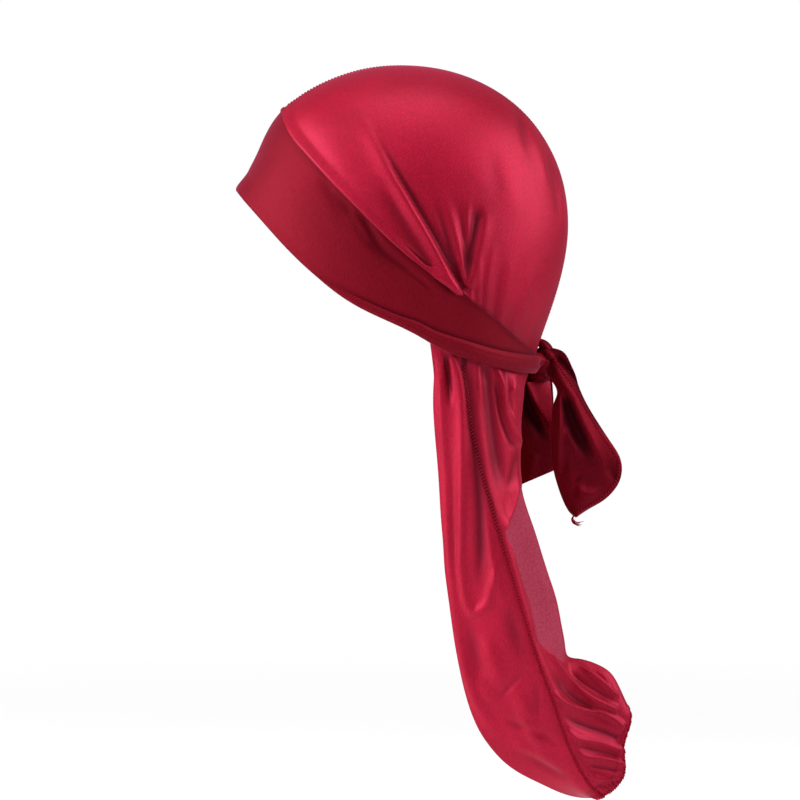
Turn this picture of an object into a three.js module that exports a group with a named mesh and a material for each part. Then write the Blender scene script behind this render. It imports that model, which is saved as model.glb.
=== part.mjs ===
import * as THREE from "three";
import { mergeVertices } from "three/addons/utils/BufferGeometryUtils.js";

// A satin durag as it sits on a head, tied at the nape, with its tail and tie ends hanging.
// The origin is the inside of the crown's top, where it sits on the head.
// +Z is up, the forehead is towards -Y, and the wearer's left is +X.

// Driving sizes in millimetres
const headLength = 196; // inside the crown, forehead to back
const headWidth = 153; // inside the crown, side to side
const crownDepth = 182; // from the top of the head down to the strap's lower edge at the nape
const cloth = 1.5; // wall of one cloth layer
const layerGap = 0.3; // clearance between layers and pieces that touch
const browFlare = 5; // how far the band stands off the brow
const crownFold = 3; // tallest pleat of the crown
const bandFold = 1.5; // tallest pleat of the band
const tailFold = 3.2; // tallest pleat of the tail
const tuck = 6; // how far the tail runs up under the strap
const strapThickness = 3.4; // rolled strap, from its inside to its outside
const seamWidth = 1.8; // overlocked seam standing on the crown
const seamHeight = 2;
const flangeWidth = 4; // overlocked seam lying on the tail
const flangeThickness = 1;
const hemWidth = 3; // overlocked end hem of the tail
const hemThickness = 2;
const tailLength = 256; // from the strap's lower edge at the nape down to the tip
const tailWidth = 118; // edge to edge along the tail's section
const knotWidth = 24;
const knotHeight = 16;
const knotDepth = 6;
const wrapWidth = 12; // strap that wraps over the knot
const wrapThickness = 2;
const tieLength = 99; // from the knot's middle down to the tip of the longer tie end
const tieSpread = 44; // widest reach of the longer tie end behind the knot
const tieFold = 7; // depth of the fold that runs down each tie end
const tieSpacing = 4; // from the middle to where each tie end leaves the knot
const tieSplay = 8; // how far the tie ends swing apart on their way down

const halfLength = headLength / 2;
const halfWidth = headWidth / 2;
const degrees = Math.PI / 180;
const bandLift = cloth + layerGap;
const strapLift = bandLift + cloth + layerGap;

// Level sections of the head: drop is a share of the crown's depth, front and back of half its length,
// side of half its width.
const headSections = [
  { drop: 0, front: 0, back: 0, side: 0 },
  { drop: 0.011, front: 0.211, back: 0.226, side: 0.234 },
  { drop: 0.044, front: 0.413, back: 0.418, side: 0.458 },
  { drop: 0.093, front: 0.602, back: 0.58, side: 0.64 },
  { drop: 0.159, front: 0.74, back: 0.737, side: 0.79 },
  { drop: 0.247, front: 0.827, back: 0.867, side: 0.902 },
  { drop: 0.341, front: 0.9, back: 0.95, side: 0.961 },
  { drop: 0.44, front: 0.936, back: 0.996, side: 0.99 },
  { drop: 0.549, front: 0.965, back: 1, side: 1 },
  { drop: 0.67, front: 0.975, back: 0.963, side: 0.993 },
  { drop: 0.797, front: 0.955, back: 0.887, side: 0.96 },
  { drop: 0.907, front: 0.91, back: 0.823, side: 0.908 },
  { drop: 1.03, front: 0.85, back: 0.762, side: 0.837 },
].map((row) => ({ ...row, root: Math.sqrt(row.drop) }));

// Edges round the head, from the middle of the forehead (turn 0) to the nape (turn 180 degrees),
// as drops in shares of the crown's depth.
const headEdges = [
  { turn: 0, rim: 0.401, bandTop: 0.137, strapTop: 0.38 },
  { turn: 20, rim: 0.445, bandTop: 0.17, strapTop: 0.425 },
  { turn: 33, rim: 0.513, bandTop: 0.212, strapTop: 0.493 },
  { turn: 45, rim: 0.595, bandTop: 0.258, strapTop: 0.575 },
  { turn: 58, rim: 0.684, bandTop: 0.34, strapTop: 0.66 },
  { turn: 68, rim: 0.753, bandTop: 0.415, strapTop: 0.716 },
  { turn: 79, rim: 0.806, bandTop: 0.497, strapTop: 0.764 },
  { turn: 90, rim: 0.857, bandTop: 0.604, strapTop: 0.812 },
  { turn: 104, rim: 0.909, bandTop: 0.703, strapTop: 0.863 },
  { turn: 120, rim: 0.958, bandTop: 0.785, strapTop: 0.905 },
  { turn: 135, rim: 0.988, bandTop: 0.86, strapTop: 0.931 },
  { turn: 150, rim: 0.999, bandTop: 0.913, strapTop: 0.938 },
  { turn: 165, rim: 1, bandTop: 0.94, strapTop: 0.935 },
  { turn: 180, rim: 1, bandTop: 0.945, strapTop: 0.935 },
];
const columnTurn = 7.5; // turn between two columns of the crown and the band
const bandRowCount = 6;
const bandEnd = 165; // turn at which the band runs in under the strap
const strapStart = 56; // turn at which the strap's roll leaves the band
const tailStart = 101; // turn at which the tail's near edge leaves the strap

// Folds seen from the side. Each runs from (y0, z0) to (y1, z1), y in shares of half the head's length and
// z in shares of the crown's depth; above and below are its widths on either side, as shares of half the
// head's length, and height its share of the tallest pleat.
const crownFolds = [
  { y0: -0.16, z0: -0.25, y1: 0.41, z1: -0.78, above: 0.03, below: 0.2, height: 0.95 },
  { y0: 0.2, z0: -0.4, y1: 0.37, z1: -0.66, above: 0.045, below: 0.05, height: 0.55 },
  { y0: 0.26, z0: -0.38, y1: 0.39, z1: -0.68, above: 0.06, below: 0.045, height: 0.6 },
  { y0: 0.4, z0: -0.44, y1: 0.45, z1: -0.68, above: 0.05, below: 0.04, height: 0.5 },
  { y0: 0.52, z0: -0.46, y1: 0.48, z1: -0.72, above: 0.06, below: 0.04, height: 0.4 },
];
const bandFolds = [
  { y0: -0.42, z0: -0.36, y1: 0.0, z1: -0.65, above: 0.07, below: 0.07, height: 1 },
  { y0: -0.3, z0: -0.5, y1: 0.22, z1: -0.78, above: 0.07, below: 0.07, height: 0.7 },
];
const tailFolds = [
  { y0: 0.37, z0: -0.95, y1: 0.38, z1: -1.5, above: 0.05, below: 0.04, height: 0.9 },
  { y0: 0.26, z0: -0.95, y1: 0.28, z1: -1.15, above: 0.06, below: 0.05, height: -0.7 },
  { y0: 0.56, z0: -1.0, y1: 0.72, z1: -1.27, above: 0.06, below: 0.12, height: 0.9 },
  { y0: 0.72, z0: -1.36, y1: 0.62, z1: -1.55, above: 0.06, below: 0.06, height: -0.6 },
  { y0: 0.66, z0: -1.55, y1: 0.84, z1: -1.9, above: 0.08, below: 0.06, height: -0.8 },
  { y0: 0.84, z0: -1.9, y1: 1.32, z1: -2.11, above: 0.06, below: 0.07, height: 1 },
  { y0: 0.93, z0: -2.07, y1: 1.34, z1: -2.17, above: 0.05, below: 0.05, height: 0.9 },
  { y0: 1.02, z0: -2.2, y1: 1.34, z1: -2.26, above: 0.05, below: 0.05, height: 0.8 },
  { y0: 1.1, z0: -2.31, y1: 1.34, z1: -2.33, above: 0.05, below: 0.05, height: 0.8 },
];

// Lines that the tail hangs in, from the strap (down 0) to the end hem (down 1): its near edge, its seam, the
// fold at the back, its middle behind that, and its far edge. y and x are shares of half the head's length
// and width, fall a share of the tail's length below the strap at the nape.
const nearEdge = [
  { down: 0.06, y: 0.208, fall: 0.012, x: 0.81 },
  { down: 0.18, y: 0.196, fall: 0.16, x: 0.74 },
  { down: 0.3, y: 0.22, fall: 0.307, x: 0.67 },
  { down: 0.42, y: 0.263, fall: 0.455, x: 0.6 },
  { down: 0.54, y: 0.325, fall: 0.6, x: 0.52 },
  { down: 0.66, y: 0.416, fall: 0.744, x: 0.42 },
  { down: 0.76, y: 0.545, fall: 0.855, x: 0.3 },
  { down: 0.86, y: 0.777, fall: 0.943, x: 0.17 },
  { down: 0.94, y: 1.0, fall: 0.992, x: 0.06 },
  { down: 1, y: 1.24, fall: 0.994, x: -0.03 },
];
const seamLine = [
  { down: 0.06, y: 0.416, fall: 0.035, x: 0.76 },
  { down: 0.18, y: 0.465, fall: 0.165, x: 0.72 },
  { down: 0.3, y: 0.539, fall: 0.289, x: 0.67 },
  { down: 0.42, y: 0.624, fall: 0.409, x: 0.62 },
  { down: 0.54, y: 0.722, fall: 0.539, x: 0.56 },
  { down: 0.66, y: 0.827, fall: 0.66, x: 0.5 },
  { down: 0.76, y: 0.918, fall: 0.759, x: 0.45 },
  { down: 0.86, y: 1.016, fall: 0.862, x: 0.38 },
  { down: 0.94, y: 1.12, fall: 0.946, x: 0.32 },
  { down: 1, y: 1.225, fall: 0.985, x: 0.27 },
];
const turnLine = [
  { down: 0.06, y: 0.722, fall: 0.054, x: 0.37 },
  { down: 0.18, y: 0.722, fall: 0.162, x: 0.33 },
  { down: 0.3, y: 0.735, fall: 0.272, x: 0.29 },
  { down: 0.42, y: 0.808, fall: 0.378, x: 0.25 },
  { down: 0.54, y: 0.894, fall: 0.479, x: 0.21 },
  { down: 0.66, y: 0.961, fall: 0.584, x: 0.18 },
  { down: 0.76, y: 1.004, fall: 0.666, x: 0.17 },
  { down: 0.86, y: 1.16, fall: 0.697, x: 0.18 },
  { down: 0.94, y: 1.29, fall: 0.735, x: 0.2 },
  { down: 1, y: 1.36, fall: 0.795, x: 0.2 },
];
const backLine = [
  { down: 0.06, y: 0.68, fall: 0.054, x: -0.15 },
  { down: 0.18, y: 0.61, fall: 0.162, x: -0.15 },
  { down: 0.3, y: 0.61, fall: 0.275, x: -0.15 },
  { down: 0.42, y: 0.68, fall: 0.385, x: -0.14 },
  { down: 0.54, y: 0.79, fall: 0.49, x: -0.12 },
  { down: 0.66, y: 0.89, fall: 0.6, x: -0.1 },
  { down: 0.76, y: 0.965, fall: 0.69, x: -0.09 },
  { down: 0.86, y: 1.11, fall: 0.735, x: -0.07 },
  { down: 0.94, y: 1.24, fall: 0.775, x: -0.05 },
  { down: 1, y: 1.33, fall: 0.825, x: -0.04 },
];
const farEdge = [
  { down: 0.06, y: 0.24, fall: 0.03, x: -0.81 },
  { down: 0.18, y: 0.25, fall: 0.15, x: -0.7 },
  { down: 0.3, y: 0.3, fall: 0.28, x: -0.6 },
  { down: 0.42, y: 0.4, fall: 0.41, x: -0.51 },
  { down: 0.54, y: 0.52, fall: 0.53, x: -0.43 },
  { down: 0.66, y: 0.66, fall: 0.65, x: -0.36 },
  { down: 0.76, y: 0.8, fall: 0.74, x: -0.3 },
  { down: 0.86, y: 0.97, fall: 0.81, x: -0.24 },
  { down: 0.94, y: 1.13, fall: 0.85, x: -0.19 },
  { down: 1, y: 1.25, fall: 0.88, x: -0.16 },
];
// Where those lines lie across the tail, and the turn at which each leaves the strap.
const tailLines = [
  { across: 0, turn: tailStart, rows: nearEdge },
  { across: 0.28, turn: 118, rows: seamLine },
  { across: 0.56, turn: 150, rows: turnLine },
  { across: 0.76, turn: 191, rows: backLine },
  { across: 1, turn: 360 - tailStart, rows: farEdge },
];
const seamAcross = tailLines[1].across;
const turnAcross = tailLines[2].across;
const farGathers = 18; // soft gathers round the tail's whole width, shown on its hidden side
const hangStart = 0.02; // share of the way down at which the tail leaves the head
const hangFree = 0.06; // and at which it hangs free

// Level sections of the tie ends, from the knot (fall 0) to the tip: near and far edges behind the knot in
// shares of the tie's spread, the fold's depth as a share of the tie's fold.
const nearTieSections = [
  { fall: 0, near: 0.0, far: 0.14, fold: 0.1 },
  { fall: 0.05, near: 0.01, far: 0.26, fold: 0.2 },
  { fall: 0.12, near: 0.02, far: 0.33, fold: 0.3 },
  { fall: 0.24, near: 0.02, far: 0.42, fold: 0.6 },
  { fall: 0.38, near: 0.0, far: 0.62, fold: 1 },
  { fall: 0.54, near: -0.01, far: 0.83, fold: 1 },
  { fall: 0.68, near: 0.02, far: 0.93, fold: 0.8 },
  { fall: 0.76, near: 0.04, far: 0.92, fold: 0.6 },
  { fall: 0.85, near: 0.1, far: 0.84, fold: 0.5 },
  { fall: 0.93, near: 0.18, far: 0.65, fold: 0.3 },
  { fall: 1, near: 0.28, far: 0.38, fold: 0.1 },
];
const farTieSections = [
  { fall: 0, near: 0.0, far: 0.12, fold: 0.1 },
  { fall: 0.07, near: 0.0, far: 0.12, fold: 0.1 },
  { fall: 0.15, near: -0.14, far: 0.08, fold: 0.2 },
  { fall: 0.24, near: -0.4, far: 0.06, fold: 0.5 },
  { fall: 0.38, near: -0.52, far: 0.06, fold: 0.9 },
  { fall: 0.55, near: -0.54, far: 0.04, fold: 1 },
  { fall: 0.68, near: -0.52, far: 0.04, fold: 0.8 },
  { fall: 0.76, near: -0.5, far: -0.12, fold: 0.5 },
  { fall: 0.81, near: -0.46, far: -0.34, fold: 0.2 },
];

const satin = { color: 0xa81e36, roughness: 0.35, metalness: 0.1 };
const dullSatin = { color: 0x8c1624, roughness: 0.7, metalness: 0 };
const thread = { color: 0x7c1220, roughness: 0.6, metalness: 0 };

const mix = THREE.MathUtils.lerp;
const smooth = (low, high, place) => THREE.MathUtils.smoothstep(place, low, high);
const steps = (from, to, count) => Array.from({ length: count + 1 }, (_, i) => mix(from, to, i / count));

// Reads a column of a table anywhere between its rows, on a smooth curve through them.
function read(rows, by, place, column) {
  const last = rows.length - 1;
  let i = 0;
  while (i < last - 1 && place > rows[i + 1][by]) i++;
  const slope = (k) => {
    const low = rows[Math.max(k - 1, 0)];
    const high = rows[Math.min(k + 1, last)];
    return (high[column] - low[column]) / (high[by] - low[by]);
  };
  const span = rows[i + 1][by] - rows[i][by];
  const t = THREE.MathUtils.clamp((place - rows[i][by]) / span, 0, 1);
  const s = 1 - t;
  return (
    (1 + 2 * t) * s * s * rows[i][column] +
    t * s * s * span * slope(i) +
    t * t * (3 - 2 * t) * rows[i + 1][column] -
    t * t * s * span * slope(i + 1)
  );
}

// Turns run past 180 degrees on the far side, where the head is the same as on the near side.
const nearTurn = (turn) => Math.min(Math.abs(turn), 360 - Math.abs(turn));
const edgeDrop = (turn, column) => crownDepth * read(headEdges, "turn", nearTurn(turn), column);

// How far a table's folds lift the cloth at a point seen from the side, as a share of the tallest pleat.
function foldShare(folds, y, z) {
  let lift = 0;
  for (const fold of folds) {
    const start = new THREE.Vector2(fold.y0 * halfLength, fold.z0 * crownDepth);
    const along = new THREE.Vector2(fold.y1 * halfLength, fold.z1 * crownDepth).sub(start);
    const length = along.length();
    along.normalize();
    const away = new THREE.Vector2(y, z).sub(start);
    const run = away.dot(along) / length;
    const past = (run - THREE.MathUtils.clamp(run, 0, 1)) * length;
    const fade = Math.exp(-((past / (0.1 * halfLength)) ** 2)) * smooth(-0.05, 0.3, run);
    const across = away.y * along.x - away.x * along.y;
    const width = (across > 0 ? fold.above : fold.below) * halfLength;
    lift += fold.height * fade * Math.exp(-((across / width) ** 2));
  }
  return lift;
}

// A point of the bare head form.
function headPoint(turn, drop) {
  const root = Math.sqrt(Math.max(drop, 0) / crownDepth);
  const ahead = Math.cos(turn * degrees);
  const reach = read(headSections, "root", root, ahead > 0 ? "front" : "back");
  const flare = browFlare * Math.max(ahead, 0) ** 2 * smooth(0.3, 0.42, drop / crownDepth);
  return new THREE.Vector3(
    halfWidth * read(headSections, "root", root, "side") * Math.sin(turn * degrees),
    -(halfLength * reach + flare) * ahead,
    -drop,
  );
}

// A point at a height over the head form.
function overHead(turn, drop, lift) {
  const step = 0.5;
  const low = Math.max(drop, step);
  const round = headPoint(turn + step, low).sub(headPoint(turn - step, low));
  const down = headPoint(turn, low + step / 2).sub(headPoint(turn, low - step / 2));
  const normal = drop < step ? new THREE.Vector3(0, 0, 1) : down.cross(round).normalize();
  return headPoint(turn, drop).addScaledVector(normal, lift);
}

// A closed geometry from points and triangles, with its faces turned out.
function closedGeometry(points, faces) {
  const bare = new THREE.BufferGeometry().setFromPoints(points).setIndex(faces);
  const merged = mergeVertices(bare, 1e-3);
  const used = merged.index.array;
  const corner = (k) => new THREE.Vector3().fromBufferAttribute(merged.attributes.position, k);
  const index = [];
  let volume = 0;
  for (let i = 0; i < used.length; i += 3) {
    const [a, b, c] = [used[i], used[i + 1], used[i + 2]];
    if (a === b || b === c || a === c) continue;
    index.push(a, b, c);
    volume += corner(a).dot(corner(b).cross(corner(c)));
  }
  if (volume < 0) index.reverse();
  merged.setIndex(index);
  merged.computeVertexNormals();
  return merged;
}

// A sheet of cloth over lists of columns and rows: two skins a wall apart, closed round their edges. pointAt
// takes a column, a row, and 0 or 1 for the inner or the outer skin.
function sheetGeometry(columns, rows, pointAt) {
  const points = [0, 1].flatMap((skin) => rows.flatMap((row) => columns.map((column) => pointAt(column, row, skin))));
  const [across, along] = [columns.length - 1, rows.length - 1];
  const at = (skin, i, j) => (skin * (along + 1) + j) * (across + 1) + i;
  const faces = [];
  const quad = (a, b, c, d) => faces.push(a, b, c, a, c, d);
  for (let j = 0; j < along; j++)
    for (let i = 0; i < across; i++) {
      quad(at(1, i, j), at(1, i + 1, j), at(1, i + 1, j + 1), at(1, i, j + 1));
      quad(at(0, i, j), at(0, i, j + 1), at(0, i + 1, j + 1), at(0, i + 1, j));
    }
  for (let j = 0; j < along; j++) {
    quad(at(0, 0, j), at(1, 0, j), at(1, 0, j + 1), at(0, 0, j + 1));
    quad(at(0, across, j + 1), at(1, across, j + 1), at(1, across, j), at(0, across, j));
  }
  for (let i = 0; i < across; i++) {
    quad(at(0, i + 1, 0), at(1, i + 1, 0), at(1, i, 0), at(0, i, 0));
    quad(at(0, i, along), at(1, i, along), at(1, i + 1, along), at(0, i + 1, along));
  }
  return closedGeometry(points, faces);
}

// A solid through rings of points, with a flat cap at each end.
function loftGeometry(rings) {
  const sides = rings[0].length;
  const faces = [];
  for (let r = 0; r < rings.length - 1; r++)
    for (let k = 0; k < sides; k++) {
      const [a, b] = [r * sides + k, r * sides + ((k + 1) % sides)];
      faces.push(a, b, b + sides, a, b + sides, a + sides);
    }
  const end = (rings.length - 1) * sides;
  for (let k = 1; k < sides - 1; k++) faces.push(0, k + 1, k, end, end + k, end + k + 1);
  return closedGeometry(rings.flat(), faces);
}

// The columns that the crown and the band share, so that their walls lie parallel.
function turnsBetween(from, to) {
  const inner = steps(0, 360, 360 / columnTurn).map((turn) => turn - 180);
  return [from, ...inner.filter((turn) => turn > from + 1 && turn < to - 1), to];
}

const bandRows = steps(0, 1, bandRowCount);

// The crown's lower edge: it stops short of the rim where the tail takes over.
function crownEdge(turn) {
  return edgeDrop(turn, "rim") - mix(layerGap, tuck, smooth(tailStart - 10, tailStart - 2, turn));
}

// The drop at a share of the way over the band, from its top edge (0) to the rim (1).
const bandDrop = (turn, share) => mix(edgeDrop(turn, "bandTop"), edgeDrop(turn, "rim"), share);

// One side of the crown: side 1 is the wearer's left, -1 the right. Rows up to 1 run from the top of the
// head to the band, and the rest lie under the band's own rows.
function crownPanel(side) {
  const rows = [...steps(0, 1, 14), ...bandRows.slice(1).map((share) => 1 + share)];
  return sheetGeometry(turnsBetween(0, 180), rows, (turn, row, skin) => {
    const top = edgeDrop(turn, "bandTop");
    const above = top * (1 - Math.cos((Math.min(row, 1) * Math.PI) / 2));
    const drop = Math.min(row > 1 ? bandDrop(turn, row - 1) : above, crownEdge(turn));
    const bare = headPoint(turn, drop);
    const clear = (1 - smooth(top - 2 * tuck, top, drop)) * smooth(0.2, 0.6, Math.sin(turn * degrees));
    const fold = Math.max(foldShare(crownFolds, bare.y, bare.z), 0) * crownFold * clear;
    const point = overHead(turn, drop, skin * cloth + fold);
    point.x = side * (Math.max(point.x, 0) + layerGap / 2);
    return point;
  });
}

// The overlocked seam that stands on the crown's middle line, from the band to the knot.
function crownSeam() {
  const front = edgeDrop(0, "bandTop") - layerGap;
  const back = knotDrop - knotHeight / 2 - wrapReach - seamHeight / 2;
  const half = seamWidth / 2;
  const ring = (s) => {
    const turn = s < 0 ? 0 : 180;
    const drop = (s < 0 ? front : back) * (1 - Math.cos((s * Math.PI) / 2));
    const foot = overHead(turn, drop, cloth + layerGap);
    const head = overHead(turn, drop, cloth + layerGap + seamHeight);
    const corner = (point, x) => new THREE.Vector3(x, point.y, point.z);
    return [corner(foot, -half), corner(foot, half), corner(head, half * 0.7), corner(head, -half * 0.7)];
  };
  return loftGeometry(steps(-1, 1, 36).map(ring));
}

// How far the band is lifted by its own folds, between the strap and its top edge.
function bandSlack(turn, drop) {
  const bare = headPoint(turn, drop);
  const [strapTop, bandTop] = [edgeDrop(turn, "strapTop"), edgeDrop(turn, "bandTop")];
  const free = Math.sin(Math.PI * THREE.MathUtils.clamp((strapTop - drop) / (strapTop - bandTop), 0, 1));
  return Math.max(foldShare(bandFolds, bare.y, bare.z), 0) * bandFold * free * Math.abs(Math.sin(turn * degrees));
}

// The forehead band, one piece from knot to knot round the brow.
function foreheadBand() {
  return sheetGeometry(turnsBetween(-bandEnd, bandEnd), bandRows, (turn, share, skin) => {
    const drop = bandDrop(turn, share);
    return overHead(turn, drop, bandLift + skin * cloth + bandSlack(turn, drop));
  });
}

// The rolled strap along the band's lower edge, on one side, from where it leaves the band to the knot.
function strap(side) {
  const knotTurn = Math.asin((knotWidth / 2 + 2 * layerGap) / headPoint(90, knotDrop).x) / degrees;
  const ring = (s) => {
    const turn = mix(strapStart, 180 - knotTurn, s);
    const [low, high] = [edgeDrop(turn, "rim"), edgeDrop(turn, "strapTop")];
    const size = mix(0.3, 1, smooth(0, 0.2, s));
    const middle = mix(low, (low + high) / 2, size);
    return steps(0, 315, 7).map((angle) => {
      const drop = middle - (Math.sin(angle * degrees) * size * (low - high)) / 2;
      const out = (size * strapThickness * (1 + Math.cos(angle * degrees))) / 2;
      const point = overHead(turn, drop, strapLift + out);
      point.x *= side;
      return point;
    });
  };
  return loftGeometry(steps(0, 1, 26).map(ring));
}

// The tail's middle sheet before its folds, at a share across it and a share of the way down.
function tailPoint(across, down) {
  const turn = read(tailLines, "across", across, "turn");
  const topDrop = edgeDrop(turn, "rim") - tuck + layerGap;
  const lines = tailLines.map((line) => ({
    across: line.across,
    x: halfWidth * read(line.rows, "down", down, "x"),
    y: halfLength * read(line.rows, "down", down, "y"),
    z: -crownDepth - tailLength * read(line.rows, "down", down, "fall"),
  }));
  const hung = new THREE.Vector3(...["x", "y", "z"].map((axis) => read(lines, "across", across, axis)));
  const tucked = headPoint(turn, mix(topDrop, topDrop + 2 * tuck, down / hangFree));
  return tucked.lerp(hung, smooth(hangStart, hangFree, down));
}

// A point at a height over the tail's sheet, folds included.
function overTail(across, down, lift) {
  const step = 0.01;
  const round = tailPoint(Math.min(across + step, 1), down).sub(tailPoint(Math.max(across - step, 0), down));
  const along = tailPoint(across, Math.min(down + step, 1)).sub(tailPoint(across, Math.max(down - step, 0)));
  const normal = along.cross(round).normalize();
  const point = tailPoint(across, down);
  const near = 1 - smooth(turnAcross - 0.04, turnAcross + 0.06, across);
  const gathers = 0.25 * Math.cos(2 * Math.PI * farGathers * across) * smooth(turnAcross, turnAcross + 0.2, across);
  const folds = mix(gathers, foldShare(tailFolds, point.y, point.z), near) * tailFold * smooth(0.04, 0.1, down);
  return point.addScaledVector(normal, lift + folds);
}

// The tail's flange lies on these last columns of the left panel.
const flangeAcross = [seamAcross - layerGap / tailWidth - flangeWidth / tailWidth, seamAcross - layerGap / tailWidth];
const tailRows = [...steps(0, hangFree, 4), ...steps(hangFree, 1, 22).slice(1)];

function tailPanel(columns) {
  return sheetGeometry(columns, tailRows, (across, down, skin) => overTail(across, down, skin * cloth - layerGap));
}

// The overlocked seam of the tail, laid on its left panel.
function tailSeam() {
  const clearRows = tailRows.filter((down) => down > hangFree * 0.7);
  return sheetGeometry(flangeAcross, clearRows, (across, down, skin) =>
    overTail(across, down, cloth + skin * flangeThickness),
  );
}

// The overlocked end hem, beyond the right panel's lower edge.
const rightColumns = [...steps(seamAcross + layerGap / tailWidth, turnAcross, 10), ...steps(turnAcross, 1, 9).slice(1)];
function tailHem() {
  const lastRow = tailRows[tailRows.length - 2];
  return sheetGeometry(rightColumns, [2 * layerGap, hemWidth], (across, reach, skin) => {
    const lift = cloth / 2 - layerGap + (skin - 0.5) * hemThickness;
    const edge = overTail(across, 1, lift);
    const beyond = edge.clone().sub(overTail(across, lastRow, lift)).normalize();
    return edge.addScaledVector(beyond, reach);
  });
}

// The knot: the two straps' crossing, and the strap that wraps over it.
const knotDrop = edgeDrop(180, "strapTop");
const knotSeat = overHead(180, knotDrop - knotHeight / 2, cloth + layerGap).y;
const wrapTurn = 96; // how far the wrap reaches round the knot, up and down from its middle
const wrapSwell = 0.5; // share by which the wrap is thicker along its middle
const wrapReach = 2 * layerGap + wrapThickness * (1 + wrapSwell); // from the knot to the wrap's outside
function knotCore() {
  const ring = (s) => {
    const size = mix(0.62, 1, Math.cos((s * Math.PI) / 2));
    return steps(0, 324, 9).map((angle) => {
      const y = knotSeat + (knotDepth / 2) * (1 + size * Math.cos(angle * degrees));
      const z = -knotDrop + (knotHeight / 2) * size * Math.sin(angle * degrees);
      return new THREE.Vector3((s * knotWidth) / 2, y, z);
    });
  };
  return loftGeometry(steps(-1, 1, 12).map(ring));
}

function knotWrap() {
  return sheetGeometry(steps(0, 1, 4), steps(wrapTurn, -wrapTurn, 16), (u, angle, skin) => {
    const grow = layerGap * 2 + skin * wrapThickness * (1 + wrapSwell * Math.sin(Math.PI * u));
    const slant = (-0.25 * wrapWidth * angle) / wrapTurn;
    return new THREE.Vector3(
      (u - 0.5) * wrapWidth + slant,
      knotSeat + knotDepth / 2 + (knotDepth / 2 + grow) * Math.cos(angle * degrees),
      -knotDrop + (knotHeight / 2 + grow) * Math.sin(angle * degrees),
    );
  });
}

// A tie end: a folded sheet that hangs from the knot on its own side of the middle.
function tieEnd(rows, side) {
  const rootY = knotSeat + knotDepth + wrapReach + layerGap;
  const bottom = rows[rows.length - 1].fall;
  return sheetGeometry(steps(0, 1, 8), steps(0, bottom, 18), (u, fall, skin) => {
    const reach = mix(read(rows, "fall", fall, "near"), read(rows, "fall", fall, "far"), u);
    const fold = tieFold * read(rows, "fall", fall, "fold");
    const depth = fold * (0.5 * Math.cos(2 * Math.PI * u) + 0.25 * Math.cos(4 * Math.PI * u));
    const x = tieSpacing + tieSplay * smooth(0, 0.6, fall) + depth + skin * cloth;
    return new THREE.Vector3(side * x, rootY + tieSpread * reach, -knotDrop - tieLength * fall);
  });
}

const durag = new THREE.Group();

function addPiece(name, geometry, finish) {
  const piece = new THREE.Mesh(geometry, new THREE.MeshStandardMaterial(finish));
  piece.name = name;
  durag.add(piece);
}

addPiece("crown_panel_left", crownPanel(1), satin);
addPiece("crown_panel_right", crownPanel(-1), satin);
addPiece("crown_seam", crownSeam(), thread);
addPiece("forehead_band", foreheadBand(), dullSatin);
addPiece("strap_left", strap(1), dullSatin);
addPiece("strap_right", strap(-1), dullSatin);
addPiece("knot_core", knotCore(), dullSatin);
addPiece("knot_wrap", knotWrap(), dullSatin);
addPiece("tie_end_left", tieEnd(nearTieSections, 1), dullSatin);
addPiece("tie_end_right", tieEnd(farTieSections, -1), dullSatin);
addPiece("tail_panel_left", tailPanel([...steps(0, flangeAcross[0], 9), flangeAcross[1]]), satin);
addPiece("tail_panel_right", tailPanel(rightColumns), satin);
addPiece("tail_seam", tailSeam(), thread);
addPiece("tail_hem", tailHem(), thread);

export default durag;
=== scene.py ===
"""A satin durag as it is worn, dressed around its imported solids, with a studio to show it in."""

import logging
import math
from dataclasses import dataclass, field
from enum import Enum
from typing import Any

import bmesh
import bpy
import numpy as np
from mathutils import Matrix, Vector


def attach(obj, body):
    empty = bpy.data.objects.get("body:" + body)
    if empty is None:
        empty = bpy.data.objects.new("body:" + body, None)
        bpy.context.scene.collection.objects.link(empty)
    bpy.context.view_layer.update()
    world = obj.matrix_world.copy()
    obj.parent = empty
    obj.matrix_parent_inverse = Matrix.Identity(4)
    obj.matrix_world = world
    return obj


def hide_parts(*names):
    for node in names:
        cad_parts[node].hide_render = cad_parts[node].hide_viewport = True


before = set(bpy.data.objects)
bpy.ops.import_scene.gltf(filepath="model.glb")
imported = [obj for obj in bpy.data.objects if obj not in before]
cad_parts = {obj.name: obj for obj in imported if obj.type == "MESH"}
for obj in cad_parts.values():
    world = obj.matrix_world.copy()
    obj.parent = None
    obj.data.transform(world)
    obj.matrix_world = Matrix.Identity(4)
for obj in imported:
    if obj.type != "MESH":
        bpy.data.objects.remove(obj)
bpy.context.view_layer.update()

logging.basicConfig(level=logging.INFO, format="%(name)s: %(message)s")
LOG = logging.getLogger("durag")

MM = 0.001
BODY = "root"
UV_NAME = "cloth"
DULL_PAINTED_SHEEN = "matte"
# Painted shade: a point attribute that darkens the cloth's colour in fold hollows, under edges and along
# seams and hems
PAINTED_SHADE = "hollow"
SIDES = ((1, "left"), (-1, "right"))
WHITE = (1.0, 1.0, 1.0, 1.0)
Array = np.ndarray
Mesh = bpy.types.Mesh
Tree = bpy.types.NodeTree
Pair = tuple[float, float]
Triple = tuple[float, float, float]
Quad = tuple[float, float, float, float]
Colour = Quad
Pixel = Pair
Path = tuple[Pixel, ...]


def smooth(low: float, high: float, place: Any) -> Any:
    """Eases from 0 at low to 1 at high.

    Args:
        low: where the result leaves 0.
        high: where it reaches 1.
        place: a number or an array of places.

    Returns:
        The eased shares, in the shape of place.
    """
    share = np.clip((np.asarray(place, float) - low) / (high - low), 0.0, 1.0)
    return share * share * (3.0 - 2.0 * share)


def unit(vectors: Array) -> Array:
    """Vectors brought to a length of 1."""
    return vectors / np.linalg.norm(vectors, axis=-1, keepdims=True)


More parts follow.
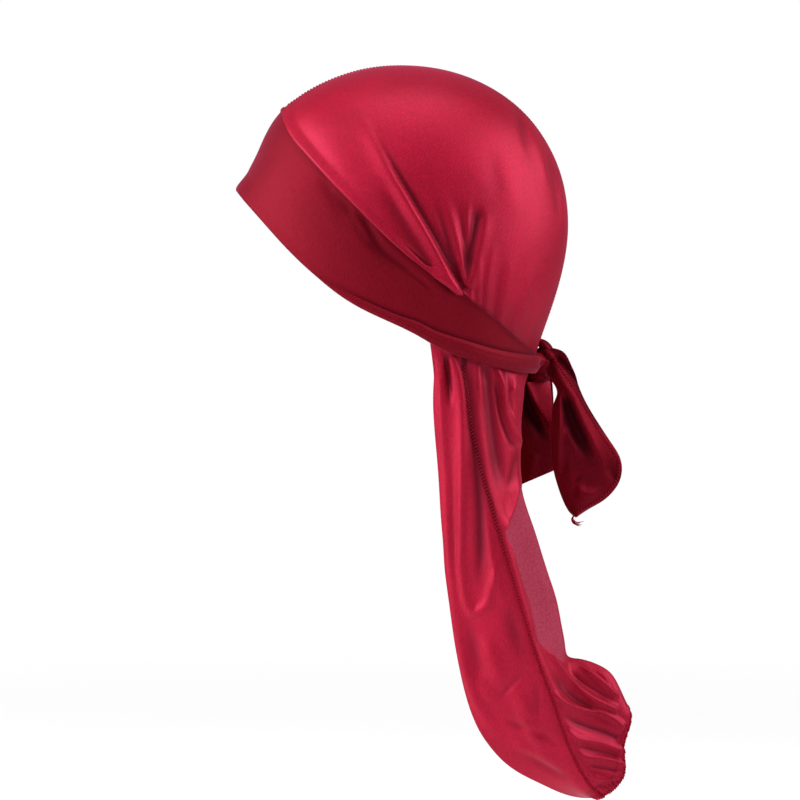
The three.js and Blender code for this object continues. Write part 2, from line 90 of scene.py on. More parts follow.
def run_of(line: Array) -> Array:
    """The distance run at each point of a line, from its first point."""
    return np.concatenate([[0.0], np.cumsum(np.linalg.norm(np.diff(line, axis=0), axis=1))])


def rolled(share: Array) -> Array:
    """How far a rolled edge has turned under, at shares of its roll that reach 1 at its very edge."""
    share = np.clip(share, 0, 1)
    return 1 - np.sqrt(np.maximum(1 - share**2, 0))


def add_object(name: str, data: bpy.types.ID) -> bpy.types.Object:
    """Adds an object with its data to the scene."""
    made = bpy.data.objects.new(name, data)
    bpy.context.scene.collection.objects.link(made)
    return made


def finished(form: bmesh.types.BMesh, name: str) -> Mesh:
    """Turns a form into a mesh of that name, and frees it."""
    mesh = bpy.data.meshes.new(name)
    form.to_mesh(mesh)
    form.free()
    return mesh


def set_uv(mesh: Mesh, uv: Array) -> None:
    """Gives a mesh its UV map, from a measure in metres at each vertex."""
    corners = np.empty(len(mesh.loops), np.int32)
    mesh.loops.foreach_get("vertex_index", corners)
    layer = mesh.uv_layers.new(name=UV_NAME)
    layer.data.foreach_set("uv", np.ascontiguousarray(uv, np.float32).reshape(-1, 2)[corners].reshape(-1))


class Curve:
    """A smooth curve through the rows of a table, in any number of columns."""

    def __init__(self, places: Any, rows: Any) -> None:
        """Fits a natural cubic spline.

        Args:
            places: rising places of the rows.
            rows: the values there, one row a place.
        """
        self.places = np.asarray(places, float)
        self.rows = np.asarray(rows, float).reshape(len(self.places), -1)
        gaps = np.diff(self.places)[:, None]
        count = len(self.places)
        system = np.eye(count)
        target = np.zeros_like(self.rows)
        slopes = np.diff(self.rows, axis=0) / gaps
        for k in range(1, count - 1):
            before, after = gaps[k - 1, 0], gaps[k, 0]
            system[k, k - 1 : k + 2] = before, 2 * (before + after), after
            target[k] = 6 * (slopes[k] - slopes[k - 1])
        self.bends = np.linalg.solve(system, target)

    def __call__(self, place: Any) -> Array:
        """Reads the curve.

        Args:
            place: places to read, of any shape.

        Returns:
            The values, with one more axis for the columns.
        """
        place = np.clip(np.asarray(place, float), self.places[0], self.places[-1])
        k = np.clip(np.searchsorted(self.places, place, side="right") - 1, 0, len(self.places) - 2)
        gap = (self.places[k + 1] - self.places[k])[..., None]
        after = (place - self.places[k])[..., None] / gap
        before = 1.0 - after
        bend = (before**3 - before) * self.bends[k] + (after**3 - after) * self.bends[k + 1]
        return before * self.rows[k] + after * self.rows[k + 1] + bend * gap * gap / 6.0


def path_curve(points: Any) -> Curve:
    """A curve through points, read from 0 at the first to 1 at the last by the distance along them."""
    points = np.asarray(points, float)
    run = run_of(points)
    return Curve(run / run[-1], points)


@dataclass(frozen=True)
class PhotoView:
    """The photo's view of the object, from the wearer's left.

    Its pixels are those of the 800 pixel square frame. One pixel is 0.6 mm in the plane of the crown's seam.
    """

    middle: Triple = (0.0, -0.0012, -0.1988)
    pixel: float = 0.6 * MM
    distance: float = 2.4
    rise: float = math.radians(3.0)
    half_frame: float = 400.0
    sensor: float = 36.0

    def project(self, points: Array) -> tuple[Array, Array]:
        """Finds where points land in the photo.

        Args:
            points: an array of points, x, y and z on its last axis.

        Returns:
            The pixels across and down.
        """
        rel = points - np.array(self.middle)
        toward = rel[..., 0] * math.cos(self.rise) + rel[..., 2] * math.sin(self.rise)
        up = rel[..., 2] * math.cos(self.rise) - rel[..., 0] * math.sin(self.rise)
        scale = self.distance / (self.distance - toward) / self.pixel
        return self.half_frame + rel[..., 1] * scale, self.half_frame - up * scale

    def place(self, across: Any, down: Any, side: Any) -> Array:
        """Finds the points that land on pixels of the photo, at known distances to the wearer's left.

        Args:
            across: pixels across.
            down: pixels down.
            side: the points' x.

        Returns:
            The points.
        """
        across, down, side = np.broadcast_arrays(across, down, side)
        tall = (self.half_frame - down) * self.pixel / self.distance
        cos, sin = math.cos(self.rise), math.sin(self.rise)
        rel_z = (tall * (self.distance - side * cos) + side * sin) / (cos + tall * sin)
        reach = self.distance - side * cos - rel_z * sin
        rel_y = (across - self.half_frame) * self.pixel * reach / self.distance
        return np.stack([side, self.middle[1] + rel_y, self.middle[2] + rel_z], axis=-1)

    def make_camera(self) -> bpy.types.Object:
        """Adds the camera at the photo's angle and makes it the scene's."""
        data = bpy.data.cameras.new("camera")
        data.sensor_width = self.sensor
        data.lens = self.sensor * self.distance / (2 * self.half_frame * self.pixel)
        camera = add_object("camera", data)
        away = Vector((math.cos(self.rise), 0.0, math.sin(self.rise)))
        camera.location = Vector(self.middle) + away * self.distance
        camera.rotation_euler = (-away).to_track_quat("-Z", "Y").to_euler()
        bpy.context.scene.camera = camera
        return camera


VIEW = PhotoView()


@dataclass
class HeadForm:
    """The form that the crown is stretched over, and the edges that run round it.

    A turn of 0 is the middle of the forehead, 90 the wearer's left and 180 the nape. A drop is a depth below
    the top of the head.
    """

    length: float = 196 * MM
    width: float = 153 * MM
    depth: float = 182 * MM
    brow_flare: float = 5 * MM
    flare_drops: Pair = (0.27, 0.44)
    flare_rounds: int = 6
    probe: float = 0.3 * MM
    probe_turn: float = 0.5
    edge_lift: float = 2 * MM
    edge_tries: int = 400
    edge_step: int = 6
    # Least and greatest drop of each edge, in shares of the depth
    rim_reach: Pair = (0.33, 1.03)
    band_reach: Pair = (0.08, 0.98)
    strap_reach: Pair = (0.33, 1.0)
    # Level sections: drop, then the front, back and side in shares of half the length and width
    sections: tuple[Quad, ...] = (
        (0, 0, 0, 0), (0.011, 0.213, 0.222, 0.234), (0.044, 0.417, 0.427, 0.452), (0.093, 0.594, 0.598, 0.64),
        (0.159, 0.736, 0.745, 0.788), (0.247, 0.83, 0.868, 0.899), (0.341, 0.896, 0.949, 0.96),
        (0.44, 0.938, 0.991, 0.99), (0.549, 0.965, 0.998, 1.0), (0.67, 0.975, 0.963, 0.993),
        (0.797, 0.955, 0.893, 0.96), (0.907, 0.91, 0.823, 0.908), (1.03, 0.85, 0.762, 0.837),
    )
    # The edges in photo pixels, from the silhouette over the brow to the nape
    rim_pixels: Path = (
        (236, 190), (258, 217), (285, 249), (312, 275), (341, 297), (370, 312.5), (400, 326), (422, 337.5),
        (444, 350), (461, 356), (482, 363), (502, 368), (519, 371.5), (534, 372),
    )
    band_pixels: Path = (
        (279, 108), (287, 129), (300, 148), (318, 168), (335, 186), (350, 201), (366, 217), (384, 235),
        (406, 255), (432, 276), (463, 297), (489, 314), (510, 333), (534, 353),
    )
    strap_pixels: Path = (
        (236, 187), (258, 213), (285, 244), (312, 268), (341, 287), (370, 302), (400, 315), (420, 322),
        (436, 330), (451, 335), (471, 341), (492, 347), (517, 352), (534, 354),
    )
    turns: Array = field(default_factory=lambda: np.linspace(0, 180, 181))

    def __post_init__(self) -> None:
        """Fits the sections and finds each edge's drop at every turn."""
        rows = np.array(self.sections, float)
        self.shape = Curve(np.sqrt(rows[:, 0]), rows[:, 1:])
        self.rim = self.edge_curve(self.rim_pixels, self.rim_reach)
        self.band_top = self.edge_curve(self.band_pixels, self.band_reach)
        self.strap_top = self.edge_curve(self.strap_pixels, self.strap_reach)

    def half_sizes(self, drop: Any) -> tuple[Array, Array, Array]:
        """The front, back and side of the form at a drop, from its middle."""
        shares = self.shape(np.sqrt(np.maximum(np.asarray(drop, float), 0.0) / self.depth))
        front, back, side = shares[..., 0], shares[..., 1], shares[..., 2]
        return front * self.length / 2, back * self.length / 2, side * self.width / 2

    def flare(self, drop: Any) -> Array:
        """How far the brow stands off the form at a drop, at the middle of the forehead."""
        return self.brow_flare * smooth(*self.flare_drops, np.asarray(drop, float) / self.depth)

    def point(self, turn: Any, drop: Any) -> Array:
        """The form's points at turns in degrees and drops in metres."""
        turn, drop = np.broadcast_arrays(np.radians(turn), drop)
        front, back, side = self.half_sizes(drop)
        ahead = np.cos(turn)
        reach = np.where(ahead > 0, front + self.flare(drop) * np.maximum(ahead, 0.0) ** 2, back)
        return np.stack([side * np.sin(turn), -reach * ahead, -drop], axis=-1)

    def normal(self, turn: Any, drop: Any) -> Array:
        """The outward directions at those points."""
        low = np.maximum(drop, 2 * self.probe)
        turn, step = np.asarray(turn), self.probe_turn
        round_way = self.point(turn + step, low) - self.point(turn - step, low)
        down_way = self.point(turn, low + self.probe) - self.point(turn, low - self.probe)
        return unit(np.cross(down_way, round_way))

    def over(self, turn: Any, drop: Any, lift: Any) -> Array:
        """Points at a height over the form."""
        return self.point(turn, drop) + self.normal(turn, drop) * np.asarray(lift)[..., None]

    def turn_at(self, back_y: Array, drop: Array) -> Array:
        """The turn of a place seen in profile, on the wearer's left."""
        front, back, _ = self.half_sizes(drop)
        flare = self.flare(drop)
        ahead = np.clip(-back_y / np.maximum(front, 1e-9), -1, 1)
        for _ in range(self.flare_rounds):
            reach = front + flare * np.maximum(ahead, 0) ** 2
            ahead = np.clip(-back_y / np.maximum(reach, 1e-9), -1, 1)
        behind = np.clip(-back_y / np.maximum(back, 1e-9), -1, 1)
        return np.degrees(np.arccos(np.where(back_y < 0, ahead, behind)))

    def edge_curve(self, pixels: Path, reach: Pair) -> Curve:
        """Turns an edge drawn in the photo into a drop at each turn.

        Args:
            pixels: points along the edge, left to right.
            reach: least and greatest drop to look at, in shares of the form's depth.

        Returns:
            A curve from the turn to the drop.
        """
        line = Curve([p[0] for p in pixels], [[p[1]] for p in pixels])
        drops = np.linspace(*reach, self.edge_tries) * self.depth
        found = []
        for turn in self.turns:
            across, down = VIEW.project(self.over(turn, drops, self.edge_lift))
            past = down - line(across)[..., 0]
            found.append(np.interp(0.0, past, drops))
        kept = np.arange(0, len(self.turns), self.edge_step)
        return Curve(self.turns[kept], np.array(found)[kept, None])

    def front(self, turn: Any, crossing: float, width: float) -> Array:
        """How much a turn of either side lies before a crossing: 1 in front of it and 0 behind it."""
        return 1 - smooth(crossing - width, crossing + width, np.abs(turn))

    def drop(self, edge: Curve, turn: Any) -> Array:
        """An edge's drop at turns of either side."""
        turn = np.abs(np.asarray(turn, float))
        return edge(np.minimum(turn, 360 - turn))[..., 0]


HEAD = HeadForm()


@dataclass(frozen=True)
class Fold:
    """One fold or groove of the cloth, along a path in photo pixels.

    Attributes:
        path: points along it.
        height: how far it lifts the cloth, in millimetres, less than 0 for a groove.
        left: its width in pixels on the left, as seen where the path runs down the photo.
        right: its width on the right.
        spread: how many times wider it is at the path's start than at its end.
        fade: shares of the path over which it rises at its start and falls to its end.
    """

    path: Path
    height: float
    left: float
    right: float
    spread: float = 1.0
    fade: Pair = (0.4, 0.4)
    steps: int = 24

    def locate(self, across: Array, down: Array) -> tuple[Array, Array, Array]:
        """Places points against the path.

        Args:
            across: pixels across of each point.
            down: pixels down of each point.

        Returns:
            The distance in pixels, 1 on the path's right or -1 on its left, and the share along it.
        """
        line = path_curve(self.path)(np.linspace(0, 1, self.steps + 1))
        best = np.full(across.shape, np.inf)
        sign = np.ones(across.shape)
        share = np.zeros(across.shape)
        for k in range(self.steps):
            step = line[k + 1] - line[k]
            from_x, from_y = across - line[k, 0], down - line[k, 1]
            held = np.clip((from_x * step[0] + from_y * step[1]) / float(step @ step), 0.0, 1.0)
            gap_x = from_x - held * step[0]
            gap_y = from_y - held * step[1]
            distance = np.hypot(gap_x, gap_y)
            nearer = distance < best
            best = np.where(nearer, distance, best)
            sign = np.where(nearer, np.sign(gap_x * step[1] - gap_y * step[0]), sign)
            share = np.where(nearer, (k + held) / self.steps, share)
        return best, sign, share

    def lift(self, across: Array, down: Array) -> Array:
        """How far the fold lifts the cloth at pixels, in metres."""
        best, sign, share = self.locate(across, down)
        width = np.where(sign > 0, self.right, self.left) * (self.spread + (1 - self.spread) * share)
        profile = np.exp(-((best / width) ** 2))
        ease = smooth(-0.001, self.fade[0], share) * smooth(-0.001, self.fade[1], 1 - share)
        return self.height * MM * profile * ease


Folds = tuple[Fold, ...]


def fold_lift(folds: Folds, points: Array) -> Array:
    """The lift of a set of folds at points, the same on both sides of the head."""
    near = points.copy()
    near[..., 0] = np.abs(near[..., 0])
    across, down = VIEW.project(near)
    total = np.zeros(across.shape)
    for fold in folds:
        total += fold.lift(across, down)
    return total


def painted_fold_shade(lift: Array, depth: float = 2.2 * MM, most: float = 0.85) -> Array:
    """How much shade is painted into the folds' hollows, from the folds' lift.

    Args:
        lift: the lift of the folds.
        depth: the depth at which the shade is full.
        most: the full shade.

    Returns:
        The shade at each point, from 0 to 1.
    """
    return most * np.clip(-lift / depth, 0.0, 1.0)


def grid_normals(points: Array, outward: Any) -> Array:
    """Unit normals of a grid of points, all on the side that outward points to on the whole."""
    normals = np.cross(np.gradient(points, axis=1), np.gradient(points, axis=0))
    normals /= np.maximum(np.linalg.norm(normals, axis=-1, keepdims=True), 1e-15)
    return -normals if np.sum(normals * outward) < 0 else normals


def line_on(points: Array, path: Path, count: int) -> tuple[Array, Array]:
    """Lays a path drawn in the photo on a sheet.

    Args:
        points: the sheet's grid.
        path: points of the path in photo pixels.
        count: how many places to find.

    Returns:
        The places, and the level directions across the path there.
    """
    across, down = VIEW.project(points)
    drawn = path_curve(path)(np.linspace(0, 1, count))
    gaps = np.hypot(across.reshape(-1, 1) - drawn[:, 0], down.reshape(-1, 1) - drawn[:, 1])
    side = points.reshape(-1, 3)[np.argmin(gaps, axis=0), 0]
    side = np.convolve(np.pad(side, 2, mode="edge"), np.full(5, 0.2), mode="valid")
    line = VIEW.place(drawn[:, 0], drawn[:, 1], side)
    ahead = np.gradient(line, axis=0)
    way = np.stack([np.zeros(count), -ahead[:, 2], ahead[:, 1]], axis=-1)
    return line, unit(way)


def run_along(points: Array, axis: int) -> Array:
    """The distance run along a grid in one direction, from its first line."""
    steps = np.linalg.norm(np.diff(points, axis=axis), axis=-1)
    pad = [(0, 0), (0, 0)]
    pad[axis] = (1, 0)
    return np.pad(np.cumsum(steps, axis=axis), pad)


class Socket:
    """A shader socket that sums and products can be written on."""

    def __init__(self, tree: Tree, socket: bpy.types.NodeSocket) -> None:
        """Wraps a socket of a tree."""
        self.tree = tree
        self.socket = socket

    def _math(self, operation: str, first: Any, second: Any) -> "Socket":
        """Adds a Math node of that operation."""
        return add_node(self.tree, "ShaderNodeMath", {"operation": operation}, {0: first, 1: second})

    def __add__(self, other: Any) -> "Socket":
        """Adds."""
        return self._math("ADD", self, other)

    def __mul__(self, other: Any) -> "Socket":
        """Multiplies."""
        return self._math("MULTIPLY", self, other)

    def __sub__(self, other: Any) -> "Socket":
        """Subtracts."""
        return self._math("SUBTRACT", self, other)

    def __rsub__(self, other: Any) -> "Socket":
        """Subtracts this from a number."""
        return self._math("SUBTRACT", other, self)

    __radd__ = __add__
    __rmul__ = __mul__


def add_node(tree: Tree, kind: str, settings: dict, inputs: dict, output: Any = 0) -> Socket:
    """Adds a shader node.

    Args:
        tree: the material's tree.
        kind: the node's type.
        settings: its settings, set first; stops is a ramp's list of place and colour.
        inputs: values or sockets by the input's name or number.
        output: the output to return.

    Returns:
        That output.
    """
    node = tree.nodes.new(kind)
    for name, value in settings.items():
        if name == "stops":
            ramp = node.color_ramp
            while len(ramp.elements) < len(value):
                ramp.elements.new(0.5)
            for element, (place, colour) in zip(ramp.elements, value):
                element.position = place
                element.color = colour
        else:
            setattr(node, name, value)
    for name, value in inputs.items():
        if isinstance(value, Socket):
            tree.links.new(value.socket, node.inputs[name])
        else:
            node.inputs[name].default_value = value
    return Socket(tree, node.outputs[output]) if len(node.outputs) else Socket(tree, node.inputs[0])


def add_noise(tree: Tree, place: Socket, scale: float, detail: float, roughness: float) -> Socket:
    """Adds a noise of that scale, detail and roughness."""
    inputs = {"Vector": place, "Scale": scale, "Detail": detail, "Roughness": roughness}
    return add_node(tree, "ShaderNodeTexNoise", {}, inputs)


def empty_tree(owner: bpy.types.ID) -> Tree:
    """The emptied node tree of a new material or world."""
    owner.use_nodes = True
    owner.node_tree.nodes.clear()
    return owner.node_tree


def add_mix(tree: Tree, factor: Any, first: Any, second: Any) -> Socket:
    """Mixes two colours."""
    return add_node(tree, "ShaderNodeMix", {"data_type": "RGBA"}, {0: factor, 6: first, 7: second}, output=2)


@dataclass(frozen=True)
class ClothFinish:
    """A face of satin.

    Attributes:
        name: the material's name.
        colour: its colour where it is lit evenly, linear.
        deep: its colour in the thread shadows.
        roughness: how wide its gloss spreads.
        grain: height of the thread grain, in millimetres.
        gloss: strength of its clear reflection.
        metal: how much its reflection takes the cloth's colour.
        sheen: strength of the light that its fibres catch at a low angle.
        thread_float: how many times longer than wide a thread lies on top.
        tone: weights of threads, speckle and cloud in the colour, and what is taken off.
        lustre: weights of speckle and cloud in the roughness, and what is taken off.
        relief: weights of threads and speckle in the height of the grain.
        fleck_tone: weight of the flecks in the patch with the painted sheen, and what is taken off.
    """

    name: str
    colour: Colour
    deep: Colour
    roughness: float
    grain: float
    gloss: float
    metal: float
    sheen: float = 0.28
    # painted_shade_colour: the colour that the hollow attribute mixes in, as painted shade
    painted_shade_colour: Colour = (0.12, 0.002, 0.007, 1.0)
    # painted_sheen_colour and painted_sheen_deep: a paler, greyer pink painted as a soft light's sheen on a
    # rough, unmetallic patch
    painted_sheen_colour: Colour = (0.52, 0.056, 0.105, 1.0)
    painted_sheen_deep: Colour = (0.3, 0.016, 0.038, 1.0)
    matte_roughness: float = 0.75
    gloss_tint: Colour = (1.0, 0.24, 0.49, 1.0)
    sheen_tint: Colour = (1.0, 0.22, 0.42, 1.0)
    sheen_roughness: float = 0.35
    thread_pitch: float = 0.8 * MM
    thread_float: float = 5.0
    speckle_scale: float = 1100.0
    fleck_scale: float = 620.0
    cloud_scale: float = 16.0
    tone: Quad = (1.0, 1.5, 0.9, 1.2)
    lustre: Triple = (0.1, 0.04, 0.07)
    relief: Pair = (0.7, 0.5)
    fleck_tone: Pair = (2.0, 1.5)

    def make(self) -> bpy.types.Material:
        """Builds the material on the piece's UV map, which is in metres."""
        material = bpy.data.materials.new(self.name)
        tree = empty_tree(material)
        uv = add_node(tree, "ShaderNodeUVMap", {"uv_map": UV_NAME}, {})
        rate = 1.0 / self.thread_pitch
        scale = (rate, rate / self.thread_float, 1.0)
        threads = add_node(tree, "ShaderNodeMapping", {}, {"Vector": uv, "Scale": scale})
        floats = add_noise(tree, threads, 1.0, 2.0, 0.6)
        speckle = add_noise(tree, uv, self.speckle_scale, 2.0, 0.7)
        cloud = add_noise(tree, uv, self.cloud_scale, 3.0, 0.55)
        flecks = add_noise(tree, uv, self.fleck_scale, 2.0, 0.8)
        matte, hollow = (
            add_node(tree, "ShaderNodeAttribute", {"attribute_name": word}, {}, output="Fac")
            for word in (DULL_PAINTED_SHEEN, PAINTED_SHADE)
        )
        by_thread, by_speckle, by_cloud, less = self.tone
        share = by_thread * floats + by_speckle * speckle + by_cloud * cloud - less
        # The colour darkens towards painted_shade_colour wherever the hollow attribute paints shade
        glossy = add_mix(tree, hollow, add_mix(tree, share, self.deep, self.colour), self.painted_shade_colour)
        by_fleck, less = self.fleck_tone
        # The painted sheen: a paler, greyer pink with flecks, standing in for a soft light's reflection
        painted_sheen = add_mix(tree, by_fleck * flecks + speckle + cloud - less, self.painted_sheen_deep, self.painted_sheen_colour)
        by_speckle, by_cloud, less = self.lustre
        lustre = (self.roughness - less) + by_speckle * speckle + by_cloud * cloud
        height = self.relief[0] * floats + self.relief[1] * speckle
        grain = {"Strength": 1.0, "Distance": self.grain * MM, "Height": height}
        inputs = {
            "Base Color": add_mix(tree, matte, glossy, painted_sheen),
            "Roughness": lustre + matte * (self.matte_roughness - lustre),
            "Metallic": self.metal * (1 - matte),
            "Normal": add_node(tree, "ShaderNodeBump", {}, grain),
            "Specular IOR Level": self.gloss,
            "Specular Tint": self.gloss_tint,
            "Sheen Weight": self.sheen,
            "Sheen Roughness": self.sheen_roughness,
            "Sheen Tint": self.sheen_tint,
        }
        shader = add_node(tree, "ShaderNodeBsdfPrincipled", {}, inputs)
        add_node(tree, "ShaderNodeOutputMaterial", {}, {"Surface": shader})
        return material


@dataclass(frozen=True)
class ThreadFinish:
    """Sewing thread.

    Attributes:
        name: the material's name.
        colour: the thread's colour, linear.
        shade: its colour between the plies.
        ply_pitch: distance between the plies.
        ply_depth: depth of the grooves between them.
        roughness: how wide its gloss spreads, least and how much more.
    """

    name: str
    colour: Colour
    shade: Colour
    ply_pitch: float = 0.35 * MM
    ply_depth: float = 0.1 * MM
    roughness: Pair = (0.45, 0.2)

    def make(self) -> bpy.types.Material:
        """Builds the material on Object coordinates."""
        material = bpy.data.materials.new(self.name)
        tree = empty_tree(material)
        place = add_node(tree, "ShaderNodeTexCoord", {}, {}, output="Object")
        plies = add_noise(tree, place, 1.0 / self.ply_pitch, 1.0, 0.5)
        grooves = {"Strength": 0.7, "Distance": self.ply_depth, "Height": plies}
        inputs = {
            "Base Color": add_mix(tree, plies, self.shade, self.colour),
            "Roughness": self.roughness[0] + self.roughness[1] * plies,
            "Normal": add_node(tree, "ShaderNodeBump", {}, grooves),
            "Specular IOR Level": 0.0,
        }
        shader = add_node(tree, "ShaderNodeBsdfPrincipled", {}, inputs)
        add_node(tree, "ShaderNodeOutputMaterial", {}, {"Surface": shader})
        return material


class Slot(Enum):
    """The record's material slots."""

    SATIN = "satin"
    DULL = "dull_satin"
    THREAD = "thread"


@dataclass
class Workshop:
    """Makes meshes into pieces, with their finishes."""

    satin: ClothFinish = ClothFinish(
        name="satin_face",
        colour=(0.68, 0.009, 0.045, 1.0),
        deep=(0.32, 0.004, 0.016, 1.0),
        roughness=0.44,
        grain=0.12,
        gloss=0.75,
        metal=0.3,
    )
    dull: ClothFinish = ClothFinish(
        name="satin_back",
        colour=(0.31, 0.008, 0.021, 1.0),
        deep=(0.17, 0.003, 0.009, 1.0),
        roughness=0.52,
        grain=0.08,
        gloss=0.15,
        metal=0.25,
        sheen=0.46,
    )
    # The ties and the knot: the same satin, with a darker colour and darker hollows painted in as shade
    shade: ClothFinish = ClothFinish(
        name="satin_tie_painted_shade",
        colour=(0.25, 0.007, 0.019, 1.0),
        deep=(0.1, 0.003, 0.007, 1.0),
        roughness=0.46,
        grain=0.08,
        gloss=0.05,
        metal=0.45,
        painted_shade_colour=(0.04, 0.003, 0.006, 1.0),
    )
    thread: ThreadFinish = ThreadFinish(
        name="sewing_thread", colour=(0.46, 0.013, 0.036, 1.0), shade=(0.18, 0.005, 0.014, 1.0)
    )
    wall: float = 0.8 * MM
    weld: float = 0.02 * MM
    least_edge: float = 0.01 * MM
    strand_sides: int = 6
    strand_taper: float = 0.8

    def __post_init__(self) -> None:
        """Makes the materials."""
        self.materials = {f.name: f.make() for f in (self.satin, self.dull, self.shade, self.thread)}

    def add(
        self, name: str, mesh: Mesh, slot: Slot, nodes: tuple[str, ...], finishes: tuple
    ) -> bpy.types.Object:
        """Adds a finished mesh as a piece.

        Args:
            name: the piece's name.
            mesh: its mesh, in place.
            slot: the record's slot that its finish is from; not used.
            nodes: the solids that it stands for.
            finishes: its materials in order.

        Returns:
            The piece.
        """
        piece = add_object(name, mesh)
        for finish in finishes:
            mesh.materials.append(self.materials[finish.name])
        mesh.polygons.foreach_set("use_smooth", np.ones(len(mesh.polygons), bool))
        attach(piece, BODY)
        if nodes:
            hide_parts(*nodes)
        LOG.info("%s: %d faces", name, len(mesh.polygons))
        return piece

    def sheet(
        self,
        name: str,
        points: Array,
        outward: Any,
        slot: Slot,
        nodes: tuple[str, ...],
        finishes: tuple,
        wall: float | None = None,
        merge: bool = False,
        shares: dict[str, Array] | None = None,
    ) -> bpy.types.Object:
        """Makes a sheet of cloth with a wall, its own measure as its UV map, and its back in another finish.

        Args:
            name: the piece's name.
            points: its outer face, rows by columns by 3.
            outward: directions that the face looks in.
            slot: the record's slot.
            nodes: the solids that it stands for.
            finishes: the face's and the back's finish.
            wall: the cloth's thickness, if it isn't the usual one.
            merge: whether points that fall together are made one.
            shares: attributes of the cloth at each point, from 0 to 1.

        Returns:
            The piece.
        """
        uv = np.stack([run_along(points, 1), run_along(points, 0)], axis=-1)
        cells = np.cross(np.diff(points, axis=0)[:, :-1], np.diff(points, axis=1)[:-1])
        area = np.linalg.norm(cells, axis=-1).sum()
        LOG.info("%s: %.4f square metres, %.3f by %.3f at most", name, area, *np.max(uv, axis=(0, 1)))
        turned = np.cross(np.gradient(points, axis=1), np.gradient(points, axis=0))
        way = -1 if np.sum(turned * outward) < 0 else 1
        points, uv = points[:, ::way], uv[:, ::way]
        rows, columns = points.shape[:2]
        cloth = bmesh.new()
        bmesh.ops.create_grid(cloth, x_segments=columns - 1, y_segments=rows - 1, size=1.0)
        mesh = finished(cloth, name)
        mesh.vertices.foreach_set("co", np.ascontiguousarray(points, np.float32).reshape(-1))
        set_uv(mesh, uv)
        for word, share in (shares or {}).items():
            held = mesh.attributes.new(word, "FLOAT", "POINT")
            held.data.foreach_set("value", np.ascontiguousarray(share[:, ::way], np.float32).reshape(-1))
        mesh.update()
        if merge:
            cloth = bmesh.new()
            cloth.from_mesh(mesh)
            bmesh.ops.remove_doubles(cloth, verts=cloth.verts, dist=self.weld)
            bmesh.ops.dissolve_degenerate(cloth, dist=self.least_edge, edges=cloth.edges)
            cloth.to_mesh(mesh)
            cloth.free()
        piece = self.add(name, mesh, slot, nodes, finishes)
        solid = piece.modifiers.new("wall", "SOLIDIFY")
        solid.thickness = self.wall if wall is None else wall
        solid.offset = -1.0
        solid.use_quality_normals = True
        solid.material_offset = len(finishes) - 1
        return piece

    def strands(self, name: str, paths: list[Array], radius: float) -> None:
        """Makes loose threads that taper to their ends.

        Args:
            name: the piece's name.
            paths: points along each thread.
            radius: its radius at the start.
        """
        loose = bmesh.new()
        for path in paths:
            rings = []
            last = len(path) - 1
            for k, place in enumerate(path):
                ahead = Vector(path[min(k + 1, last)] - path[max(k - 1, 0)])
                turned = ahead.to_track_quat("Z", "X").to_matrix().to_4x4()
                ring = bmesh.ops.create_circle(
                    loose,
                    cap_ends=k in (0, last),
                    segments=self.strand_sides,
                    radius=radius * (1.0 - self.strand_taper * (k / last) ** 3),
                    matrix=Matrix.Translation(Vector(place)) @ turned,
                )["verts"]
                rings.append([e for v in ring for e in v.link_edges if e.other_vert(v) in ring])
            for one, other in zip(rings, rings[1:]):
                bmesh.ops.bridge_loops(loose, edges=list(set(one)) + list(set(other)))
        bmesh.ops.recalc_face_normals(loose, faces=loose.faces)
        self.add(name, finished(loose, name), Slot.THREAD, (), (self.thread,))


